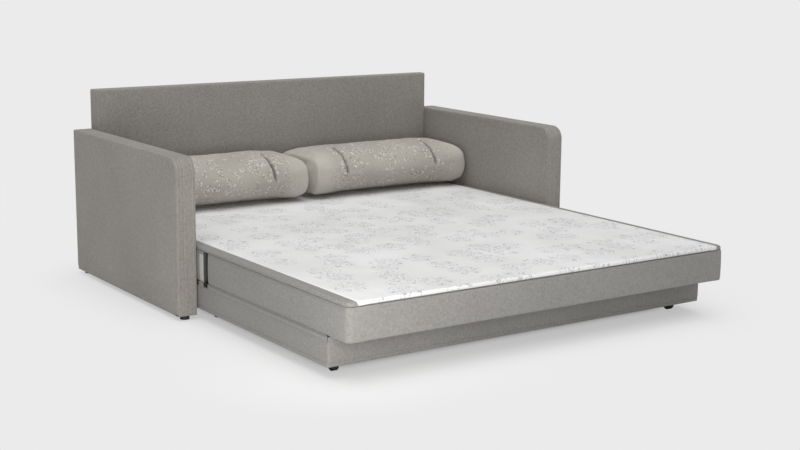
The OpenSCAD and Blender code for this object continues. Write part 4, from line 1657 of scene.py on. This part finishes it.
@dataclass
class BackCushion:
    """One loose back cushion, filled by simulation and then pinched by its two tucks."""

    side: Side
    cloth: bpy.types.Material
    seed: float
    slack: float = 0.014
    voxel: float = 0.0072
    pressure: float = 4.0
    frames: int = 20
    most_movement: float = 0.007
    seam_share: float = 0.52
    settled: float = 0.008
    pressed: float = 0.010
    taper_start: float = 0.55
    top_taper: float = 0.24
    low_taper: float = 0.04
    squareness: tuple[float, float] = (1.9, 3.6)
    end_waist: float = 0.012
    waist: float = 0.02
    front_lift: float = 0.13
    tuck_from_middle: float = 0.268
    tuck_rows: tuple[float, ...] = (0.0, 0.003, 0.006, 0.010, 0.016, 0.024)
    tuck_depth: float = 0.022
    tuck_width: float = 0.0045
    lip_rise: float = 0.0040
    pucker: float = 0.0020

    def __post_init__(self) -> None:
        """Takes the cushion's place from the frame."""
        self.node = f"{self.side.value}_back_cushion"
        self.low, self.high = corners(self.node)
        self.high.z -= self.settled
        self.middle = (self.low + self.high) / 2
        self.half = (self.high - self.low) / 2
        self.seam = self.low.z + self.seam_share * 2 * self.half.z

    def share(self, co: Vector) -> Vector:
        """A place as shares from -1 to 1 of the cushion's length, depth and height."""
        offset = co - self.middle
        return Vector((offset.x / self.half.x, offset.y / self.half.y, offset.z / self.half.z))

    def fullness(self, u: float, v: float, taper: float) -> float:
        """How far the filling lifts the cloth off the seam, from 0 to 1.

        Args:
            u: The share of the half length.
            v: The share of the half depth.
            taper: How much thinner the cushion is at its ends.

        Returns:
            The share of the full thickness.
        """
        beyond = max(0.0, (abs(u) - self.taper_start) / (1 - self.taper_start))
        along = (1 - taper * beyond ** 1.5) * crown(u, 130) ** 0.5
        squareness = self.squareness[0] + (self.squareness[1] - self.squareness[0]) * beyond ** 1.5
        return along * crown(v, squareness) ** (1 / squareness)

    def form(self) -> Piece:
        """Sews the two panels of the unfilled cushion together.

        Returns:
            The closed form, slightly thinner than the filled cushion.
        """
        draft = Draft()
        for top in (True, False):
            panel = bmesh.ops.create_grid(draft.mesh, x_segments=84, y_segments=34, size=1.0)["verts"]
            for vert in panel:
                u, v = (math.sin(math.pi / 2 * part) for part in vert.co.xy)
                full = self.fullness(u, v, self.top_taper if top else self.low_taper)
                x = u * self.half.x * (1 - self.end_waist * abs(v) ** 10)
                y = v * self.half.y * (1 - self.waist * (1 - u * u) - self.waist * abs(u) ** 24)
                rise = (self.high.z - self.slack / 2 - self.seam) * full
                lift = self.front_lift * smooth_step((0.15 - v) / 0.3)
                drop = (self.seam - self.low.z - self.slack / 2) * full * (1 - lift)
                z = self.seam + (rise if top else -drop)
                vert.co = Vector((self.middle.x + x, self.middle.y + y, z))
        bmesh.ops.remove_doubles(draft.mesh, verts=draft.mesh.verts, dist=NEAR)
        bmesh.ops.recalc_face_normals(draft.mesh, faces=draft.mesh.faces)
        return draft.finish(self.node.replace("back_", "") + "_filled", [self.cloth], levels=0)

    def remeshed(self, piece: Piece) -> Piece:
        """Gives the form an even mesh for the simulation.

        Args:
            piece: The form.

        Returns:
            The piece with its new mesh.
        """
        grid = piece.modifiers.new("even_mesh", "REMESH")
        grid.mode = "VOXEL"
        grid.voxel_size = self.voxel
        shaped = piece.evaluated_get(bpy.context.evaluated_depsgraph_get())
        even = bpy.data.meshes.new_from_object(shaped)
        piece.modifiers.clear()
        piece.data = even
        return piece

    def filled(self, piece: Piece) -> None:
        """Blows the form up as cloth and keeps each point within reach of where it was.

        Args:
            piece: The evenly meshed form.
        """
        before = np.array([vert.co for vert in piece.data.vertices])
        cloth = piece.modifiers.new("filling", "CLOTH")
        cloth.settings.quality = 5
        cloth.settings.mass = 0.3
        cloth.settings.tension_stiffness = 12
        cloth.settings.compression_stiffness = 12
        cloth.settings.shear_stiffness = 4
        cloth.settings.bending_stiffness = 0.4
        cloth.settings.use_pressure = True
        cloth.settings.uniform_pressure_force = self.pressure
        cloth.settings.effector_weights.gravity = 0.0
        cloth.point_cache.frame_start = 1
        cloth.point_cache.frame_end = self.frames
        for number in range(1, self.frames + 1):
            bpy.context.scene.frame_set(number)
        blown = piece.evaluated_get(bpy.context.evaluated_depsgraph_get())
        after = np.array([vert.co for vert in blown.data.vertices])
        bpy.context.scene.frame_set(1)
        piece.modifiers.remove(cloth)
        moves = after - before
        lengths = np.linalg.norm(moves, axis=1, keepdims=True)
        moves *= np.minimum(1.0, self.most_movement / np.maximum(lengths, 1e-9))
        self.put(piece, self.fitted(before + moves))

    def put(self, piece: Piece, points: np.ndarray) -> None:
        """Moves every point of a piece to its new place."""
        piece.data.vertices.foreach_set("co", points.astype(np.float32).ravel())
        piece.data.update()

    def fitted(self, points: np.ndarray) -> np.ndarray:
        """Brings the filled cushion back to its size and rests it on the mattress.

        Args:
            points: The filled cushion's points.

        Returns:
            The points inside the cushion's box, flat where it rests.
        """
        low = np.array(self.low) - np.array([0.0, 0.0, self.pressed])
        least, most = points.min(axis=0), points.max(axis=0)
        points = low + (points - least) * (np.array(self.high) - low) / (most - least)
        points[:, 2] = np.maximum(points[:, 2], self.low.z)
        return points

    def sewn(self, piece: Piece) -> None:
        """Pulls in the two tucks, puckers the cloth round them and notes the painted shade of their folds.

        Args:
            piece: The filled cushion.
        """
        draft = Draft()
        draft.mesh.from_mesh(piece.data)
        for side in Side:
            place = self.middle.x + side.sign * self.tuck_from_middle
            for row in self.tuck_rows:
                for x in {place - row, place + row}:
                    draft.cut(Axis.X, x)
        draft.mesh.normal_update()
        painted_shade_layer = draft.mesh.verts.layers.float.new(PAINTED_FOLD_SHADE)
        moves = [(vert, *self.tuck_move(vert.co, vert.normal)) for vert in draft.mesh.verts]
        for vert, move, dark in moves:
            vert.co += move
            vert.co.z = min(max(vert.co.z, self.low.z), self.high.z)
            vert.co.y = min(vert.co.y, self.high.y)
            vert[painted_shade_layer] = dark
        draft.mesh.to_mesh(piece.data)
        draft.mesh.free()
        piece.data.shade_smooth()

    def tuck_move(self, co: Vector, normal: Vector) -> tuple[Vector, float]:
        """How a point moves as the tucks are pulled in, and how much painted shade its fold gets.

        Args:
            co: The point.
            normal: The direction that the cloth faces there.

        Returns:
            The move, and a shade from 0 to 1.
        """
        share = self.share(co)
        wrinkle = 0.0018 * ripple(co, 0.075, self.seed) + 0.0011 * ripple(co, 0.032, self.seed + 4)
        resting = smooth_step((co.z - self.low.z) / 0.02)
        move = normal * wrinkle * resting
        dark = 0.0
        along = smooth_step((-0.10 - share.y) / 0.18) * smooth_step((co.z - self.seam + 0.018) / 0.03)
        run = co.z - co.y
        for side in Side:
            away = co.x - self.middle.x - side.sign * self.tuck_from_middle
            pinch = math.exp(-((away / self.tuck_width) ** 2))
            lean = math.exp(-((away / 0.05) ** 2))
            lips = math.exp(-(((abs(away) - 0.017) / 0.009) ** 2))
            spread = math.exp(-abs(away) / 0.05) * (1 - pinch)
            move -= normal * along * (self.tuck_depth * pinch + 0.006 * lean - self.lip_rise * lips)
            move += normal * self.pucker * math.cos(run * 2 * math.pi / 0.034) * spread * resting
            # painted shade: the deeper a tuck pinches, the darker its fold is painted
            dark += along * pinch
        return move, min(dark, 1.0)

    def build(self) -> Piece:
        """Makes the cushion.

        Returns:
            The finished cushion.
        """
        piece = self.remeshed(self.form())
        self.filled(piece)
        self.sewn(piece)
        smoothed(piece)
        settle(piece, f"{self.side.value}_cushion", "cushion_fabric", self.node)
        return piece


@dataclass
class Carcass:
    """The timber, boards, slats, fixings and rollers, which keep their meshes from the frame."""

    upright_timber: bpy.types.Material
    long_timber: bpy.types.Material
    cross_timber: bpy.types.Material
    plywood: bpy.types.Material
    hardboard: bpy.types.Material
    steel: bpy.types.Material
    plastic: bpy.types.Material

    def finishes(self) -> dict[str, bpy.types.Material]:
        """The finish of each node that is kept.

        Returns:
            Node names and their materials.
        """
        groups = [
            (self.upright_timber, ["back_frame", "crossbeam_legs", "roller_blocks"]),
            (self.long_timber, ["left_arm_frame", "right_arm_frame", "left_side_rail", "right_side_rail",
                                "base_left_board", "base_right_board"]),
            (self.cross_timber, ["rear_ledger", "crossbeam", "base_front_board", "base_crossbar",
                                 "base_ledger"]),
            (self.plywood, ["fixed_slats", "pull_out_slats"]),
            (self.hardboard, ["left_arm_outer_panel", "right_arm_outer_panel", "left_arm_inner_panel",
                              "right_arm_inner_panel", "back_front_panel", "back_rear_panel"]),
            (self.steel, ["arm_bolts", "arm_bolt_nuts", "side_rail_screws", "fixed_slat_screws",
                          "pull_out_slat_screws", "roller_brackets", "bracket_screws", "roller_axles"]),
            (self.plastic, ["arm_glides", "back_glides", "crossbeam_feet", "guide_pads",
                            "front_left_roller", "front_right_roller", "rear_left_roller",
                            "rear_right_roller"]),
        ]
        return {name: look for look, names in groups for name in names}

    def dress(self) -> None:
        """Gives every kept node its finish."""
        for name, look in self.finishes().items():
            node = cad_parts[name]
            for slot in node.material_slots:
                slot.material = look
            LOG.info("%s keeps its mesh", name)


@dataclass(frozen=True)
class SoftBox:
    """A studio lamp with a square pale screen."""

    name: str
    place: tuple[float, float, float]
    aim: tuple[float, float, float]
    size: float
    power: float
    tint: tuple[float, float, float] = (1.0, 1.0, 1.0)

    def hang(self) -> None:
        """Hangs the lamp and turns it to its aim."""
        data = bpy.data.lights.new(self.name, "AREA")
        data.size = self.size
        data.energy = self.power
        data.color = self.tint
        lamp = bpy.data.objects.new(self.name, data)
        lamp.visible_camera = False
        lamp.location = self.place
        lamp.rotation_euler = (Vector(self.aim) - Vector(self.place)).to_track_quat("-Z", "Y").to_euler()
        bpy.context.scene.collection.objects.link(lamp)


@dataclass
class Studio:
    """The pale floor, the even light and the camera of the photograph."""

    backdrop: Colour
    camera_place: tuple[float, float, float] = (-3.5881, -5.3147, 1.5640)
    camera_yaw: float = 34.417
    camera_pitch: float = 11.031
    camera_roll: float = 0.519
    focal_length: float = 64.957
    floor_half: float = 60.0
    shadow_half: tuple[float, float] = (0.78, 0.80)
    near_fade: tuple[float, float, float] = (0.0, 0.12, 0.55)
    far_fade: tuple[float, float, float] = (0.15, 0.75, 0.45)
    sky_strength: float = 0.35
    overhead_strength: float = 1.78
    overhead_angle: float = 60.0
    key: SoftBox = SoftBox("key", (-1.7, -2.35, 0.62), (-0.1, -0.1, 0.30), 0.8, 23.0, (1.0, 0.99, 0.975))

    def set_camera(self) -> None:
        """Places the camera as the photograph was taken."""
        yaw, pitch, roll = (math.radians(a) for a in (self.camera_yaw, self.camera_pitch, self.camera_roll))
        ahead = Vector((math.sin(yaw) * math.cos(pitch), math.cos(yaw) * math.cos(pitch), -math.sin(pitch)))
        level = Vector((math.cos(yaw), -math.sin(yaw), 0.0))
        upright = level.cross(ahead)
        right = level * math.cos(roll) + upright * math.sin(roll)
        up = upright * math.cos(roll) - level * math.sin(roll)
        data = bpy.data.cameras.new("camera")
        data.lens = self.focal_length
        data.sensor_width = 36.0
        data.clip_end = 300.0
        camera = bpy.data.objects.new("camera", data)
        turn = Matrix((right, up, -ahead)).transposed().to_4x4()
        camera.matrix_world = Matrix.Translation(self.camera_place) @ turn
        bpy.context.scene.collection.objects.link(camera)
        bpy.context.scene.camera = camera

    def set_world(self) -> None:
        """Lights the object from all round and shows the pale backdrop behind it."""
        world = bpy.data.worlds.new("studio")
        bpy.context.scene.world = world
        world.use_nodes = True
        tree = world.node_tree
        tree.nodes.clear()
        sky, wall = (tree.nodes.new("ShaderNodeBackground") for _ in range(2))
        sky.inputs["Color"].default_value = (1.0, 1.0, 1.0, 1.0)
        sky.inputs["Strength"].default_value = self.sky_strength
        wall.inputs["Color"].default_value = self.backdrop
        wall.inputs["Strength"].default_value = 1.0
        path = tree.nodes.new("ShaderNodeLightPath")
        seen = path.outputs["Is Camera Ray"]
        for name in ("Is Glossy Ray", "Is Transmission Ray"):
            either = tree.nodes.new("ShaderNodeMath")
            either.operation = "MAXIMUM"
            tree.links.new(seen, either.inputs[0])
            tree.links.new(path.outputs[name], either.inputs[1])
            seen = either.outputs[0]
        choice = tree.nodes.new("ShaderNodeMixShader")
        output = tree.nodes.new("ShaderNodeOutputWorld")
        tree.links.new(seen, choice.inputs[0])
        tree.links.new(sky.outputs[0], choice.inputs[1])
        tree.links.new(wall.outputs[0], choice.inputs[2])
        tree.links.new(choice.outputs[0], output.inputs[0])

    def floor_material(self) -> bpy.types.Material:
        """A matt pale floor that turns into the backdrop away from the object, in two steps.

        Returns:
            The floor's material.
        """
        board = NodeBoard("studio_floor")
        matt = board.add("ShaderNodeBsdfDiffuse")
        matt.inputs["Color"].default_value = self.backdrop
        plain = board.add("ShaderNodeEmission")
        plain.inputs["Color"].default_value = self.backdrop
        x, y, _ = board.parts(board.place)
        beside, ahead = (
            board.calc("MAXIMUM", board.calc("SUBTRACT", board.calc("ABSOLUTE", part), half), 0.0)
            for part, half in zip((x, y), self.shadow_half))
        distance = board.distance(beside, ahead)
        near, far = (board.ease(distance, low, high, 0.0, most)
                     for low, high, most in (self.near_fade, self.far_fade))
        away = board.calc("ADD", near, far)
        rays = board.add("ShaderNodeLightPath")
        share = board.calc("MULTIPLY", away, rays.outputs["Is Camera Ray"])
        choice = board.add("ShaderNodeMixShader")
        board.feed(choice.inputs[0], share)
        board.feed(choice.inputs[1], matt.outputs[0])
        board.feed(choice.inputs[2], plain.outputs[0])
        output = board.add("ShaderNodeOutputMaterial")
        board.feed(output.inputs["Surface"], choice.outputs[0])
        return board.material

    def lay_floor(self) -> None:
        """Lays the floor at the height of the feet."""
        draft = Draft()
        bmesh.ops.create_grid(draft.mesh, x_segments=2, y_segments=2, size=self.floor_half)
        floor = draft.finish("studio_floor", [self.floor_material()], levels=0)

    def hang_lamps(self) -> None:
        """Hangs the key lamp and the soft overhead light."""
        self.key.hang()
        data = bpy.data.lights.new("overhead", "SUN")
        data.energy = self.overhead_strength
        data.angle = math.radians(self.overhead_angle)
        lamp = bpy.data.objects.new("overhead", data)
        lamp.rotation_euler = Vector((0.1, 0.18, -1.0)).to_track_quat("-Z", "Y").to_euler()
        bpy.context.scene.collection.objects.link(lamp)

    def build(self) -> None:
        """Sets up the whole studio."""
        bpy.context.scene.view_settings.view_transform = "Standard"
        self.set_camera()
        self.set_world()
        self.lay_floor()
        self.hang_lamps()


def main() -> None:
    """Builds the object piece by piece, then the studio round it."""
    logging.basicConfig(level=logging.INFO, format="%(message)s")
    cover = MelangeCloth("cover_cloth", shade(119, 115, 110), shade(149, 145, 139), shade(170, 166, 160))
    border = MelangeCloth("border_cloth", shade(114, 112, 109), shade(140, 138, 135), shade(158, 156, 153))
    bending = MelangeCloth("border_cloth_bending", border.dark, border.middle, border.light, Lay.BENDING)
    ticking = DamaskTicking("damask_ticking", shade(219, 219, 218), shade(156, 157, 161),
                            shade(234, 234, 234))
    foam = Foam("cream_foam", shade(232, 224, 198), shade(212, 196, 158)).material()
    cover_cloth = cover.material()
    border_cloth = border.material()
    underside = DustCloth("dust_cloth", shade(36, 36, 38), shade(70, 70, 72)).material()
    # the pale strip and the dark strip painted at the slot as highlight and shade
    pale_highlight_strip = DustCloth("pale_highlight_strip", shade(184, 184, 180), shade(214, 214, 210)).material()
    slot_shade_cloth = DustCloth("slot_shade_cloth", shade(74, 74, 74), shade(104, 104, 103)).material()
    pale_thread = SewingThread("pale_thread", shade(182, 178, 171), shade(204, 200, 194)).material()
    dark_thread = SewingThread("dark_thread", shade(92, 90, 88), shade(120, 118, 115)).material()
    pine = (shade(72, 55, 41), shade(46, 34, 25))
    carcass = Carcass(
        upright_timber=SawnTimber("pine_upright", *pine, Axis.Z).material(),
        long_timber=SawnTimber("pine_long", *pine, Axis.Y).material(),
        cross_timber=SawnTimber("pine_cross", *pine, Axis.X).material(),
        plywood=Plywood("beech_plywood", shade(214, 182, 138), shade(170, 128, 86)).material(),
        hardboard=Hardboard("hardboard", shade(88, 68, 50), shade(116, 92, 70)).material(),
        steel=ZincSteel("zinc_steel", shade(196, 199, 203), shade(148, 151, 156)).material(),
        plastic=MouldedPlastic("black_plastic", shade(44, 44, 47), shade(78, 78, 82)).material(),
    )
    carcass.dress()
    for side in Side:
        cushion_centre = abs(sum(corner[0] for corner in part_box(f"{side.value}_back_cushion")) / 2)
        # the last colour is the painted shade in the tucks' folds
        sprig = SprigCloth(f"{side.value}_sprig_cloth", shade(186, 182, 174), shade(118, 113, 104),
                           shade(212, 209, 200), shade(62, 58, 52), cushion_centre)
        BackCushion(side, sprig.material(), seed=2.7 + side.sign).build()
    cover_stitching = Stitching(pale_thread, width=0.0018)
    for side in Side:
        Arm(side, cover_cloth, underside, cover_stitching).build()
    Back(cover_cloth, cover_stitching).build()
    side_stitching = Stitching(dark_thread, length=0.0085, gap=0.0065, width=0.0024)
    Mattress(border_cloth, bending.material(), ticking.material(), foam, slot_shade_cloth, underside, border_cloth,
             pale_highlight_strip, side_stitching).build()
    PullOutBase(border_cloth, foam, Stitching(dark_thread)).build()
    Studio(backdrop=shade(235, 235, 235)).build()


if __name__ == "__main__":
    main()
